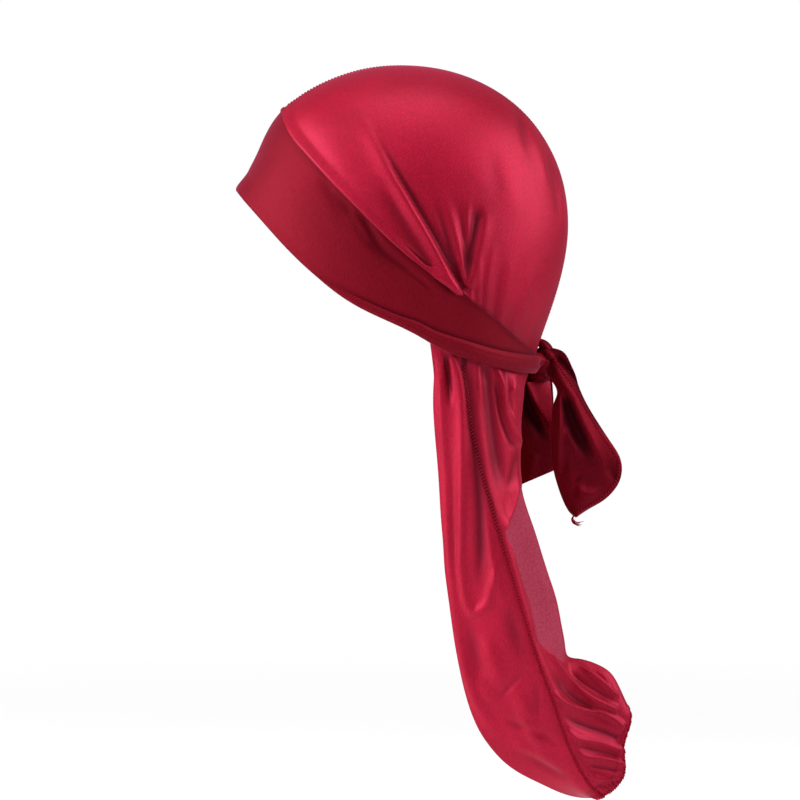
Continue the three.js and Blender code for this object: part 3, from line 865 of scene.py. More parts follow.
@dataclass
class Crown:
    """The cap's two panels, and the overlocked seam that joins them over the head."""

    across_count: int = 230
    down_count: int = 150
    lift: float = 1.4 * MM
    edge_lift: float = 3.3 * MM
    edge_rise: float = 9 * MM
    edge_roll: float = 1.3 * MM
    crossing: float = 114.0
    crossing_width: float = 9.0
    under_band: float = 7 * MM
    clear_of_rim: float = 3 * MM
    fine: int = 4000
    brow_turns: Pair = (8.0, 35.0)
    roll_depth: float = 1.2 * MM
    seam_calm: float = 22 * MM
    seam_gap: float = 0.05 * MM
    middle: Triple = (0.0, 0.0, -0.08)
    last_shaded: float = 165.0
    contact_shade: float = 0.35
    contact_reach: float = 26 * MM
    edge_shade: float = 0.6
    edge_reach: Pair = (0.5 * MM, 3.5 * MM)
    # The stitched part of the seam, how far a stitch reaches, and where the stitches sink into the cloth
    sewn: tuple[int, int] = (4, -12)
    sewn_reach: float = 1.1 * MM
    sunk: float = 0.5 * MM
    sunk_down: Pair = (0.15, 0.3)
    sunk_back: Pair = (0.5, 0.8)
    flat: Pair = (0.36, 0.15)
    cut_area: float = 0.031
    folds: Folds = (
        # The long pleat and the flap in front of it
        Fold(((352, 98), (371, 134), (380, 153), (390, 173), (401, 191), (411, 208), (421, 225), (430, 241),
             (438, 256), (444, 267), (453, 282), (462, 296)), 3.0, 8, 2.4, spread=1.5, fade=(0.55, 0.05)),
        Fold(((368, 122), (378, 140), (388, 157), (399, 177), (410, 195), (420, 212), (430, 229), (439, 245),
             (446, 258), (453, 270), (461, 284), (467, 297)), -2.2, 1.8, 4.4, fade=(0.3, 0.05)),
        Fold(((376, 170), (400, 212), (422, 246), (446, 276)), -2.0, 11, 7, fade=(0.4, 0.2)),
        # The soft fold along the band
        Fold(((292, 100), (309, 120), (330, 148), (354, 180), (382, 210), (412, 240), (446, 278)), 0.6, 9, 16,
             fade=(0.4, 0.35)),
        Fold(((360, 112), (375, 136), (389, 158), (401, 180), (412, 200)), 0.7, 10, 5, fade=(0.5, 0.5)),
        # Gathers that run up from the crossing
        Fold(((426, 176), (433, 194), (442, 222), (450, 247), (460, 278), (465, 292)), -1.6, 3.6, 3.6,
             spread=1.5, fade=(0.7, 0.05)),
        Fold(((438, 180), (445, 200), (453, 228), (460, 256), (465, 288)), 1.5, 3.2, 3.2, spread=1.5,
             fade=(0.7, 0.05)),
        Fold(((452, 190), (458, 206), (463, 228), (466, 252), (467, 286)), -1.3, 2.8, 2.8, spread=1.5,
             fade=(0.6, 0.1)),
        Fold(((479, 204), (476, 226), (471, 254), (468, 284)), -2.2, 4.0, 3.4, spread=1.6, fade=(0.2, 0.3)),
        Fold(((487, 206), (484, 230), (478, 256), (472, 290)), 1.1, 4, 5, spread=1.3, fade=(0.35, 0.1)),
        Fold(((469, 192), (468, 222), (467, 252)), 0.9, 3, 3, fade=(0.6, 0.3)),
        Fold(((472, 262), (471, 285), (471, 306)), 0.6, 2.0, 2.0, fade=(0.3, 0.15)),
        Fold(((481, 256), (479, 282), (478, 308)), 0.6, 2.2, 2.2, fade=(0.3, 0.15)),
        Fold(((497, 236), (489, 275), (486, 312)), 0.7, 3.4, 3, fade=(0.5, 0.05)),
        Fold(((506, 250), (498, 282), (493, 320)), -0.6, 3.4, 3, fade=(0.5, 0.05)),
        Fold(((519, 244), (508, 285), (500, 326)), 0.8, 5, 4, fade=(0.5, 0.05)),
        Fold(((540, 252), (527, 295), (513, 338)), 0.8, 5, 4, fade=(0.5, 0.05)),
        # Soft waves over the back
        Fold(((512, 96), (521, 122), (530, 162)), -0.8, 4, 5),
        Fold(((526, 118), (539, 152), (548, 196)), 0.9, 5, 4),
        Fold(((543, 146), (555, 182), (560, 226)), -0.9, 4, 4),
        Fold(((553, 168), (562, 204), (562, 250)), 0.7, 4, 3),
        Fold(((500, 150), (512, 190), (516, 230)), 0.7, 12, 10, fade=(0.5, 0.5)),
        Fold(((488, 140), (494, 170), (497, 205)), -0.5, 8, 8, fade=(0.5, 0.5)),
    )

    def grid(self) -> tuple[Array, Array]:
        """The turns and drops of a panel's points, from the seam to the panel's edge."""
        along = np.linspace(0, 1, self.across_count)
        lowest = HEAD.drop(HEAD.rim, 180.0) - self.clear_of_rim
        front = HEAD.drop(HEAD.band_top, 0.0)
        fine = np.linspace(-1, 1, self.fine + 1)
        drop = np.where(fine < 0, front, lowest) * fine**2
        run = run_of(HEAD.point(np.where(fine < 0, 0.0, 180.0), drop))
        seam = np.interp(along * run[-1], run, fine)
        seam_drop = np.where(seam < 0, front, lowest) * seam**2
        seam_turn = np.where(seam < 0, 0.0, 180.0)
        seam_y = HEAD.point(seam_turn, seam_drop)[:, 1]
        fine = np.linspace(0, 180, self.fine // 2 + 1)
        hidden = self.under_band * (1 - HEAD.front(fine, self.crossing, self.crossing_width))
        lowest = HEAD.drop(HEAD.rim, fine) - self.clear_of_rim
        drop = np.minimum(HEAD.drop(HEAD.band_top, fine) + hidden, lowest)
        run = run_of(HEAD.point(fine, drop))
        edge_turn = np.interp(along * run[-1], run, fine)
        edge_drop = np.interp(edge_turn, fine, drop)
        edge_y = HEAD.point(edge_turn, edge_drop)[:, 1]
        share = (1 - np.cos(np.linspace(0, 1, self.down_count) * math.pi / 2))[:, None]
        drop = seam_drop * (1 - share) + edge_drop * share
        turn = HEAD.turn_at(seam_y * (1 - share) + edge_y * share, drop)
        turn[0] = seam_turn
        turn[-1] = edge_turn
        return turn, drop

    def surface(self) -> Array:
        """The outer face of the wearer's left panel."""
        turn, drop = self.grid()
        bare = HEAD.over(turn, drop, np.full(turn.shape, self.lift))
        to_edge = HEAD.drop(HEAD.band_top, turn) - drop
        front = HEAD.front(turn, self.crossing, self.crossing_width)
        rise = (self.edge_lift - self.lift) * smooth(0.0, 1.0, 1 - to_edge / self.edge_rise) * front
        rise = rise * (0.5 + 0.5 * smooth(*self.brow_turns, turn))
        roll = self.roll_depth * rolled(1 - to_edge / self.edge_roll) * front
        folds = fold_lift(self.folds, bare) * smooth(0.0, self.seam_calm, bare[..., 0])
        # Painted shade: in the folds' hollows, on the crown close above the band behind the crossing, and in
        # a dark line along the band's edge there
        near_band = (1 - front) * (turn < self.last_shaded)
        contact = self.contact_shade * (1 - smooth(0.0, self.contact_reach, to_edge)) * near_band
        line = self.edge_shade * (1 - smooth(*self.edge_reach, to_edge)) * near_band
        self.hollow = np.maximum(painted_fold_shade(folds), np.maximum(contact, line))
        return HEAD.over(turn, drop, self.lift + rise - roll + folds)

    def build(self, shop: Workshop) -> None:
        """Makes the two panels."""
        left = self.surface()
        left[0, :, 0] = self.seam_gap
        for side, word in SIDES:
            points = left * np.array([side, 1, 1])
            piece = shop.sheet(
                f"crown_{word}", points, points - np.array(self.middle), Slot.SATIN, (f"crown_panel_{word}",),
                (shop.satin, shop.dull), merge=True, shares={PAINTED_SHADE: self.hollow},
            )
        self.seam_line = left[0]

    def sew(self, shop: Workshop, stitching: "Stitching") -> None:
        """Sews the seam."""
        seam = self.seam_line[slice(*self.sewn)]
        across = np.tile([1.0, 0.0, 0.0], (len(seam), 1))
        share = np.linspace(0, 1, len(seam))
        sunk = np.stack([0 * share, smooth(*self.sunk_back, share), smooth(*self.sunk_down, share)], axis=-1)
        seam = seam - self.sunk * sunk
        stitching.run(shop, "crown_overlock", seam, across, self.sewn_reach, ("crown_seam",))


@dataclass
class Band:
    """The wide band round the brow."""

    columns: int = 420
    rows: int = 64
    end: float = 166.0
    lift: float = 1.7 * MM
    back_lift: float = 3.3 * MM
    bulge: float = 0.7 * MM
    under_crown: float = 6 * MM
    hem_roll: float = 3.0 * MM
    hem_depth: float = 2.3 * MM
    edge_shade: float = 0.55
    edge_reach: float = 5 * MM
    crease_shade: float = 0.8
    crease_width: float = 1.6 * MM
    lip: float = 3.0 * MM
    lip_reach: float = 13 * MM
    lip_turns: Pair = (15.0, 60.0)
    # Where the folds start: below the top, above the rim and round from the brow
    calm_top: float = 8 * MM
    calm_rim: float = 12 * MM
    calm_turns: Pair = (10.0, 30.0)
    edge_turns: Pair = (25.0, 60.0)
    crease_turns: Pair = (55.0, 90.0)
    middle: Triple = (0.0, 0.0, -0.1)
    crossing: float = 112.0
    crossing_width: float = 9.0
    flat: Pair = (0.56, 0.07)
    cut_area: float = 0.025
    folds: Folds = (
        Fold(((316, 172), (328, 188), (341, 210), (356, 238)), -0.8, 7, 7, fade=(0.3, 0.5)),
        Fold(((333, 190), (343, 202), (358, 226), (374, 249), (407, 277)), -1.2, 4, 7, fade=(0.25, 0.4)),
        Fold(((352, 204), (362, 216), (378, 245), (411, 274), (440, 299)), -1.5, 4, 5, fade=(0.2, 0.2)),
        Fold(((346, 208), (358, 224), (373, 244)), 0.7, 4, 4, fade=(0.3, 0.15)),
        Fold(((400, 262), (420, 276), (440, 292), (458, 305)), 0.8, 7, 7, fade=(0.3, 0.15)),
    )

    def build(self, shop: Workshop) -> None:
        """Makes the band."""
        turn = np.linspace(-self.end, self.end, self.columns)[None, :]
        share = np.linspace(0, 1, self.rows)[:, None]
        front = HEAD.front(turn, self.crossing, self.crossing_width)
        top = HEAD.drop(HEAD.band_top, turn) - self.under_crown * front
        low = HEAD.drop(HEAD.rim, turn)
        drop = top + (low - top) * share
        turn = np.broadcast_to(turn, drop.shape)
        lift = np.broadcast_to(self.lift * front + self.back_lift * (1 - front), drop.shape)
        bare = HEAD.over(turn, drop, lift)
        belly = self.bulge * np.sin(np.pi * share) * front
        to_rim = low - drop
        roll = self.hem_depth * rolled(1 - to_rim / self.hem_roll)
        lip = self.lip * smooth(0, 1, 1 - to_rim / self.lip_reach)
        lip = lip * (1 - smooth(*self.lip_turns, np.abs(turn)))
        clear = smooth(0, self.calm_top, drop - top) * smooth(0, self.calm_rim, to_rim)
        folds = fold_lift(self.folds, bare) * clear * smooth(*self.calm_turns, np.abs(turn))
        points = HEAD.over(turn, drop, lift + belly + lip - roll + folds)
        piece = shop.sheet(
            "brow_band", points, points - np.array(self.middle), Slot.DULL, ("forehead_band",),
            (shop.dull, shop.dull), shares={PAINTED_SHADE: np.maximum(painted_fold_shade(folds), self.under_edge(turn, drop))},
        )

    def under_edge(self, turn: Array, drop: Array) -> Array:
        """The painted shade on the band below the crown's edge and in the crease above the strap."""
        turn = np.abs(turn)
        below = drop - HEAD.drop(HEAD.band_top, turn)
        above = HEAD.drop(HEAD.strap_top, turn) - drop
        edge = self.edge_shade * (1 - smooth(0.0, self.edge_reach, below)) * smooth(*self.edge_turns, turn)
        crease = np.exp(-((above / self.crease_width) ** 2)) * smooth(*self.crease_turns, turn)
        return np.maximum(edge, self.crease_shade * crease)


@dataclass
class Straps:
    """The rolled straps that run along the band's lower edge to the knot."""

    columns: int = 240
    rows: int = 26
    start: float = 40.0
    end: float = 176.0
    below: float = 0.4 * MM
    above: float = 2.0 * MM
    sunk: float = 1.2 * MM
    thickness: float = 3.2 * MM
    wrap: float = 108.0
    base: float = 1.9 * MM
    back_base: float = 3.4 * MM
    flat: Pair = (0.014, 0.2)
    cut_area: float = 0.0023
    growth: float = 44.0
    least: float = 0.06
    back_turns: Pair = (103.0, 121.0)
    full_round: float = 1.31
    inset: float = 0.6 * MM
    middle: Triple = (0.0, 0.0, -0.12)
    # Where each crease runs round the roll at its start and its end, and its depth in millimetres
    creases: tuple[Triple, ...] = ((0.25, 0.35, 0.28), (-0.35, -0.1, 0.22), (0.7, 0.55, 0.2))
    crease_width: float = 0.09

    def build(self, shop: Workshop) -> None:
        """Makes both straps."""
        turn = np.linspace(self.start, self.end, self.columns)[None, :]
        around = np.linspace(-1, 1, self.rows)[:, None]
        angle = np.radians(around * self.wrap)
        low, high = HEAD.drop(HEAD.rim, turn), HEAD.drop(HEAD.strap_top, turn)
        grown = self.least + (1 - self.least) * smooth(self.start, self.start + self.growth, turn)
        half = (low - high) / 2 * grown
        middle = low - half + self.below * grown - self.above * (1 - grown)
        drop = middle + np.sin(angle) * half
        base = self.base + (self.back_base - self.base) * smooth(*self.back_turns, turn)
        bulge = (np.cos(angle) - math.cos(math.radians(self.wrap))) / self.full_round
        out = self.thickness * grown * bulge
        share = (turn - self.start) / (self.end - self.start)
        for first, last, depth in self.creases:
            line = first + (last - first) * share
            out = out - depth * MM * grown * np.exp(-(((around - line) / self.crease_width) ** 2))
        turn = np.broadcast_to(turn, drop.shape)
        left = HEAD.over(turn, drop, base + out - self.inset - self.sunk * (1 - grown))
        for side, word in SIDES:
            points = left * np.array([side, 1, 1])
            piece = shop.sheet(
                f"rolled_strap_{word}", points, points - np.array(self.middle), Slot.DULL, (f"strap_{word}",),
                (shop.dull, shop.dull),
            )


@dataclass
class Tail:
    """The two panels of the tail, gathered under the straps."""

    rows: int = 230
    left_columns: int = 60
    right_columns: int = 150
    length: float = 256 * MM
    hang_start: float = 0.012
    hang_free: float = 0.05
    tuck: float = 6 * MM
    tuck_lift: float = 0.5 * MM
    left_flat: Pair = (0.05, 0.34)
    left_area: float = 0.0115
    right_flat: Pair = (0.185, 0.3)
    right_area: float = 0.031
    seam_across: float = 0.28
    # The lines that it hangs in, in photo pixels, from the strap to the end hem
    near_edge: Path = (
        (436, 352), (434, 376), (433, 400), (434, 424), (436, 448), (438, 472), (439.5, 496), (441, 520),
        (443, 544), (444.5, 568), (447.5, 592), (451, 616), (454.5, 640), (459, 664), (464.5, 690),
        (471, 712), (480, 732), (491, 748), (504, 762), (521, 774), (541, 784), (561, 793), (583, 798),
        (606, 797),
    )
    seam: Path = (
        (466, 358), (468, 376), (471, 397), (475, 430), (479, 449), (482.5, 466), (488, 487), (493, 503),
        (498, 522), (502.5, 537), (508.5, 558), (514, 577), (520.5, 600), (527.5, 623), (536, 648),
        (543, 668), (550, 687), (557, 707), (567.5, 738), (575.5, 757), (585, 775), (594, 787), (605, 796),
    )
    middle: Path = (
        (494, 366), (496, 400), (500, 440), (505, 480), (512, 520), (522, 560), (532, 600), (543, 636),
        (557, 668), (574, 698), (590, 720), (607, 744), (626, 772),
    )
    turn: Path = (
        (520, 371), (519.5, 400), (519.5, 430), (520, 460), (521.5, 485), (527, 508), (535, 532), (542, 556),
        (549, 580), (556, 604), (561.5, 628), (565, 648), (568, 660.5), (581, 664), (598, 669.5), (611, 678),
        (620, 692), (630, 714),
    )
    # x of those lines at equal steps down, in shares of half the head's width
    near_x: tuple[float, ...] = (0.8, 0.71, 0.62, 0.54, 0.47, 0.4, 0.33, 0.26, 0.18, 0.1, 0.02)
    seam_x: tuple[float, ...] = (0.8, 0.775, 0.74, 0.7, 0.655, 0.61, 0.565, 0.515, 0.455, 0.38, 0.28)
    middle_x: tuple[float, ...] = (0.66, 0.64, 0.61, 0.57, 0.515, 0.46, 0.41, 0.365, 0.335, 0.31, 0.29)
    turn_x: tuple[float, ...] = (0.48, 0.46, 0.42, 0.38, 0.33, 0.28, 0.235, 0.2, 0.18, 0.185, 0.2)
    # The hidden lines: y, fall below the strap and x at equal steps down, in the solid's own shares
    back_line: tuple[Triple, ...] = (
        (0.69, 0.03, -0.15), (0.64, 0.11, -0.15), (0.61, 0.2, -0.15), (0.62, 0.3, -0.15), (0.67, 0.38, -0.14),
        (0.76, 0.47, -0.12), (0.86, 0.56, -0.105), (0.93, 0.65, -0.095), (1.04, 0.71, -0.08),
        (1.18, 0.76, -0.06), (1.32, 0.825, -0.04),
    )
    far_edge: tuple[Triple, ...] = (
        (0.24, 0.0, -0.8), (0.24, 0.08, -0.75), (0.26, 0.18, -0.68), (0.31, 0.29, -0.6), (0.385, 0.39, -0.52),
        (0.48, 0.49, -0.45), (0.6, 0.6, -0.39), (0.74, 0.7, -0.33), (0.9, 0.78, -0.27), (1.08, 0.84, -0.2),
        (1.25, 0.88, -0.16),
    )
    places: tuple[float, ...] = (0.0, 0.28, 0.42, 0.56, 0.76, 1.0)
    turns: tuple[float, ...] = (101.0, 118.0, 132.0, 150.0, 191.0, 259.0)
    folds: Folds = (
        # Gathers under the strap
        Fold(((438, 352), (440, 376), (442, 420), (446, 480), (449, 540)), 1.4, 3, 4.5, fade=(0.02, 0.6)),
        Fold(((442, 352), (442, 364), (443, 380)), 0.8, 1.8, 1.8, fade=(0.02, 0.5)),
        Fold(((446, 354), (447, 372), (449, 392), (450, 413)), -2.7, 3.2, 3.4, fade=(0.05, 0.6)),
        Fold(((453, 354), (458, 370), (461.5, 388), (463, 420), (463, 480), (462, 540), (461, 576)), 2.5, 6,
             3, fade=(0.02, 0.3)),
        Fold(((456, 356), (460, 366), (462, 380)), -1.4, 1.8, 1.8, fade=(0.02, 0.5)),
        Fold(((464, 360), (468, 390), (472, 430), (478, 490), (480, 545), (479, 592)), -2.0, 4.5, 7,
             fade=(0.1, 0.2)),
        Fold(((450, 430), (452, 480), (454, 540), (456, 590)), -0.9, 4, 4),
        Fold(((444, 470), (447, 520), (451, 575), (457, 630)), 0.8, 3, 3.5),
        # The swag at the left panel's middle
        Fold(((460, 535), (461, 565), (464, 592), (474, 613), (484, 609), (492, 590), (498, 568), (502, 548)),
             1.8, 3.4, 6, fade=(0.2, 0.25)),
        Fold(((484, 500), (489, 540), (497, 580), (508, 620)), 0.8, 4, 4),
        Fold(((450, 580), (456, 620), (466, 670), (484, 720), (510, 755)), 1.2, 5, 8, fade=(0.3, 0.4)),
        Fold(((482, 630), (495, 665), (505, 695)), 2.0, 9, 8),
        Fold(((505, 590), (514, 630), (526, 672)), -1.2, 8, 7, fade=(0.5, 0.5)),
        Fold(((462, 600), (472, 645), (488, 700)), -1.2, 7, 8, fade=(0.5, 0.5)),
        Fold(((456, 628), (466, 672), (484, 712), (508, 744)), 1.2, 5, 6),
        Fold(((510, 676), (520, 706), (536, 736), (552, 758)), 1.3, 6, 7),
        Fold(((494, 704), (502, 695), (514, 683), (532, 665)), -0.8, 2.6, 7, fade=(0.4, 0.5)),
        Fold(((500, 718), (516, 725), (538, 733), (562, 749)), -1.3, 3, 3.4),
        Fold(((502, 736), (524, 746), (546, 758), (566, 772)), 1.3, 5, 6),
        Fold(((476, 668), (486, 690), (500, 708)), 1.2, 6, 7),
        Fold(((520, 690), (526, 706), (536, 722)), 1.0, 4, 5),
        Fold(((536, 676), (538, 700), (538, 724)), -0.7, 5, 3),
        Fold(((512, 700), (524, 722), (546, 752), (572, 776)), 1.0, 6, 7, fade=(0.4, 0.3)),
        Fold(((524, 752), (548, 768), (574, 781)), -0.8, 4, 4),
        # The right panel's creases
        Fold(((485, 362), (489, 392), (493, 430), (499, 470), (504, 500)), -2.0, 6.5, 5.5, fade=(0.05, 0.3)),
        Fold(((479, 362), (480, 380), (483, 410)), 1.0, 2.6, 3, fade=(0.05, 0.6)),
        Fold(((495, 362), (498, 374), (502, 388), (504, 407), (511, 429), (521, 450)), 2.8, 1.6, 5,
             fade=(0.05, 0.12)),
        Fold(((496, 376), (499, 394), (502, 412), (509, 434), (519, 455)), -1.6, 3.6, 1.4, fade=(0.2, 0.2)),
        Fold(((506, 368), (508, 388), (510, 408), (515, 424)), -1.6, 3, 3, fade=(0.05, 0.4)),
        Fold(((515, 368), (514, 383), (512, 400)), 1.5, 3, 3, fade=(0.02, 0.4)),
        Fold(((518, 448), (514, 472), (510, 492)), -1.3, 4, 4, fade=(0.3, 0.3)),
        Fold(((521, 474), (515, 502), (508, 524), (505, 538)), 1.5, 4.5, 2, fade=(0.3, 0.25)),
        Fold(((500, 500), (507, 530), (514, 560), (521, 590), (530, 620), (537, 646)), 1.1, 4, 3,
             fade=(0.2, 0.2)),
        Fold(((532, 540), (541, 570), (549, 602), (556, 640)), 0.9, 3, 2.5, fade=(0.3, 0.2)),
        # Ruffles of the flared end
        Fold(((538, 640), (553, 661), (569, 681), (589, 697), (617, 711)), 3.2, 2.2, 3.6, fade=(0.2, 0.02)),
        Fold(((553, 668), (570, 694), (588, 706), (606, 717)), -2.0, 4, 3.4, fade=(0.3, 0.3)),
        Fold(((553, 690), (562, 702), (577, 709), (607, 716), (624, 728)), 2.8, 1.8, 3.2, fade=(0.2, 0.02)),
        Fold(((560, 710), (580, 724), (604, 732), (622, 740)), -2.0, 4.4, 4.4, fade=(0.3, 0.1)),
        Fold(((566, 728), (576, 738), (594, 742), (614, 748), (626, 753)), 2.2, 1.6, 2.6, fade=(0.2, 0.02)),
        Fold(((574, 746), (598, 751), (620, 757)), -1.6, 3, 3, fade=(0.3, 0.1)),
        Fold(((576, 752), (586, 757), (604, 759), (625, 766)), 2.0, 1.5, 2.4, fade=(0.2, 0.02)),
        Fold(((584, 765), (602, 768), (620, 771)), -1.5, 2.6, 2.6, fade=(0.3, 0.1)),
        Fold(((588, 773), (600, 779), (622, 775)), 1.6, 1.6, 2.2, fade=(0.3, 0.02)),
        Fold(((594, 784), (604, 786), (616, 782)), -1.2, 2.2, 2.2, fade=(0.3, 0.1)),
        Fold(((576, 662), (590, 673), (604, 684), (618, 697)), 2.2, 2.0, 2.2, fade=(0.3, 0.05)),
        Fold(((566, 668), (582, 682), (598, 692), (614, 701)), -1.4, 3.4, 3, fade=(0.3, 0.2)),
        Fold(((592, 668), (604, 677), (612, 688)), 1.2, 1.6, 1.6, fade=(0.3, 0.1)),
    )
    # The edge of the layer behind, which is set back, rough and given a painted sheen
    layer: Fold = Fold(
        ((521, 484), (515, 508), (508, 524), (505, 531), (510, 545), (516, 562), (522, 580), (529, 598),
         (534, 620), (541, 645), (554, 657), (570, 663)), height=0.0, left=1.0, right=1.0,
    )
    layer_soft: float = 0.8
    layer_ends: Pair = (0.02, 0.06)
    layer_depth: float = 1.2 * MM
    layer_calm: float = 0.7
    flare_shade: float = 0.18
    flange_shade: float = 0.95
    flange_width: float = 2.8
    flange_off: float = 2.0
    flange_fade: Pair = (0.55, 0.25)
    flare_side: Pair = (1.0, 4.0)
    flare_down: Pair = (655.0, 700.0)
    flare_slant: float = 0.5
    # How far the end hem waves out to the back, at heights in the photo, both in pixels
    hem_wave: Path = (
        (690, 0), (702, -0.5), (714, 1.5), (724, 0), (736, -4), (747, -6.5), (757, -4.5), (768, -1.5),
        (776, 0), (785, -1),
    )
    wave_start: float = 0.9
    hem_start: float = 0.975
    hem_full: float = 0.995
    hem_line: float = 0.004
    hem_shade: float = 0.55
    pucker: float = 0.6 * MM
    puckers: int = 62
    # Shares across the tail at which the wave and the visible folds end
    wave_end: Pair = (0.55, 0.6)
    near_end: Pair = (0.55, 0.63)
    # The far panel's gathers, in number, depth, the share down at which they are whole and what they lose
    gathers: int = 22
    gather_depth: float = 0.8 * MM
    gather_start: float = 0.06
    gather_loss: float = 0.6
    fold_start: Pair = (0.01, 0.04)
    # The seam's stitches: their first row, height over the cloth, way to the side and reach
    sewn_row: int = 7
    sewn_lift: float = 1.2 * MM
    sewn_side: float = 0.8 * MM
    sewn_reach: float = 1.5 * MM
    hem_lift: float = 0.5 * MM
    hem_reach: float = 1.3 * MM

    def lines(self) -> list[Array]:
        """The tail's lines, each as points at every row."""
        down = np.linspace(0, 1, self.rows)
        steps = np.linspace(0, 1, len(self.near_x))
        half_width, half_length = HEAD.width / 2, HEAD.length / 2
        found = []
        for pixels, shares in (
            (self.near_edge, self.near_x),
            (self.seam, self.seam_x),
            (self.middle, self.middle_x),
            (self.turn, self.turn_x),
        ):
            place = path_curve(pixels)(down)
            side = Curve(steps, shares)(down)[:, 0] * half_width
            found.append(VIEW.place(place[:, 0], place[:, 1], side))
        for table in (self.back_line, self.far_edge):
            y, fall, x = Curve(steps, table)(down).T
            z = -HEAD.depth - self.length * fall
            found.append(np.stack([x * half_width, y * half_length, z], axis=-1))
        return found

    def surface(self, across: Array) -> Array:
        """The outer face at shares across the tail."""
        lines = np.stack(self.lines())
        hung = Curve(self.places, lines.reshape(len(lines), -1))(across).reshape(len(across), self.rows, 3)
        hung = hung.transpose(1, 0, 2)
        turn = Curve(self.places, self.turns)(across)[:, 0]
        down = np.linspace(0, 1, self.rows)[:, None]
        top = HEAD.drop(HEAD.rim, turn) - self.tuck
        low = top + 2 * self.tuck * down / self.hang_free
        tucked = HEAD.over(np.broadcast_to(turn, low.shape), low, np.full(low.shape, self.tuck_lift))
        share = smooth(self.hang_start, self.hang_free, down)[..., None]
        bare = tucked * (1 - share) + hung * share
        wave = np.interp(VIEW.project(bare)[1], *np.array(self.hem_wave).T) * VIEW.pixel
        wave = wave * smooth(self.wave_start, 1.0, down)
        bare[..., 1] += wave * (1 - smooth(*self.wave_end, across))
        normals = self.facing(bare, grid_normals(bare, np.zeros(3)))
        near = 1 - smooth(*self.near_end, across)
        pixels = VIEW.project(bare)
        # Behind the layer's edge the cloth is set back and rough, and a paler pink is painted in as a soft
        # light's sheen
        distance, side, along = self.layer.locate(*pixels)
        ends = smooth(0.0, self.layer_ends[0], along) * smooth(0.0, self.layer_ends[1], 1 - along)
        self.matte = smooth(-self.layer_soft, self.layer_soft, distance * side) * ends * near
        shown = fold_lift(self.folds, bare) * near * (1 - self.layer_calm * self.matte)
        # Painted shade: in the folds' hollows, over the flared end, in a line along the end hem and in a
        # strip beside the seam
        self.hollow = np.maximum(painted_fold_shade(shown), self.flare_shade * self.flare(*pixels) * near)
        hem = self.hem_shade * np.exp(-(((down - self.hem_start) / self.hem_line) ** 2)) * near
        flange = self.flange_shade * self.flange(*pixels) * near * smooth(*self.flange_fade, down)
        self.hollow = np.maximum(self.hollow, np.maximum(hem, flange))
        puckers = self.pucker * np.cos(2 * math.pi * self.puckers * across)
        shown += puckers * smooth(self.hem_start, self.hem_full, down) * near - self.layer_depth * self.matte
        gathers = self.gather_depth * np.cos(2 * math.pi * self.gathers * across) * (1 - near)
        gathers = gathers * smooth(0.0, self.gather_start, down) * (1 - self.gather_loss * down)
        return bare + normals * ((shown + gathers) * smooth(*self.fold_start, down))[..., None]

    def past_seam(self, across: Array, down: Array) -> Array:
        """How many pixels to the right of the seam points are in the photo."""
        return across - Curve([p[1] for p in self.seam], [[p[0]] for p in self.seam])(down)[..., 0]

    def flange(self, across: Array, down: Array) -> Array:
        """Where the seam's allowance shades the cloth: a narrow strip left of the seam."""
        off = np.abs(self.past_seam(across, down) + self.flange_off)
        return smooth(self.flange_width + 1.0, self.flange_width - 1.0, off)

    def flare(self, across: Array, down: Array) -> Array:
        """Where shade is painted over the flared end: right of the seam, below the layer with the painted
        sheen.
        """
        past = self.past_seam(across, down)
        return smooth(*self.flare_side, past) * smooth(*self.flare_down, down + self.flare_slant * past)

    def facing(self, points: Array, normals: Array) -> Array:
        """Turns the normals so that those of the visible panels look at the wearer's left."""
        return -normals if np.mean(normals[:, : points.shape[1] // 3, 0]) < 0 else normals

    def build(self, shop: Workshop) -> None:
        """Makes both panels."""
        left_shares = np.linspace(0, self.seam_across, self.left_columns)
        right_shares = np.linspace(self.seam_across, 1, self.right_columns)
        points = self.surface(np.concatenate([left_shares, right_shares[1:]]))
        near, far = slice(0, self.left_columns), slice(self.left_columns - 1, None)
        left, right = points[:, near], points[:, far]
        self.left_points, self.right_points = left, right
        piece = shop.sheet(
            "tail_left", left, np.array([1.0, 0, 0]), Slot.SATIN, ("tail_panel_left",),
            (shop.satin, shop.dull), shares={PAINTED_SHADE: self.hollow[:, near]},
        )
        outward = np.zeros_like(right)
        outward[:, : self.right_columns // 3, 0] = 1.0
        piece = shop.sheet(
            "tail_right", right, outward, Slot.SATIN, ("tail_panel_right",), (shop.satin, shop.dull),
            merge=True, shares={DULL_PAINTED_SHEEN: self.matte[:, far], PAINTED_SHADE: self.hollow[:, far]},
        )

    def sew(self, shop: Workshop, stitching: "Stitching") -> None:
        """Sews the seam between the panels and the end hem."""
        edge = self.left_points[self.sewn_row :, -1]
        way = unit(self.left_points[self.sewn_row :, -6] - edge)
        raised = edge + way * self.sewn_lift + np.array([self.sewn_side, 0, 0])
        stitching.run(shop, "tail_overlock", raised, way, self.sewn_reach, ("tail_seam",))
        end = self.right_points[-1, : self.right_columns - 2]
        way = unit(self.right_points[-4, : self.right_columns - 2] - end)
        stitching.run(shop, "hem_overlock", end + way * self.hem_lift, way, self.hem_reach, ("tail_hem",))


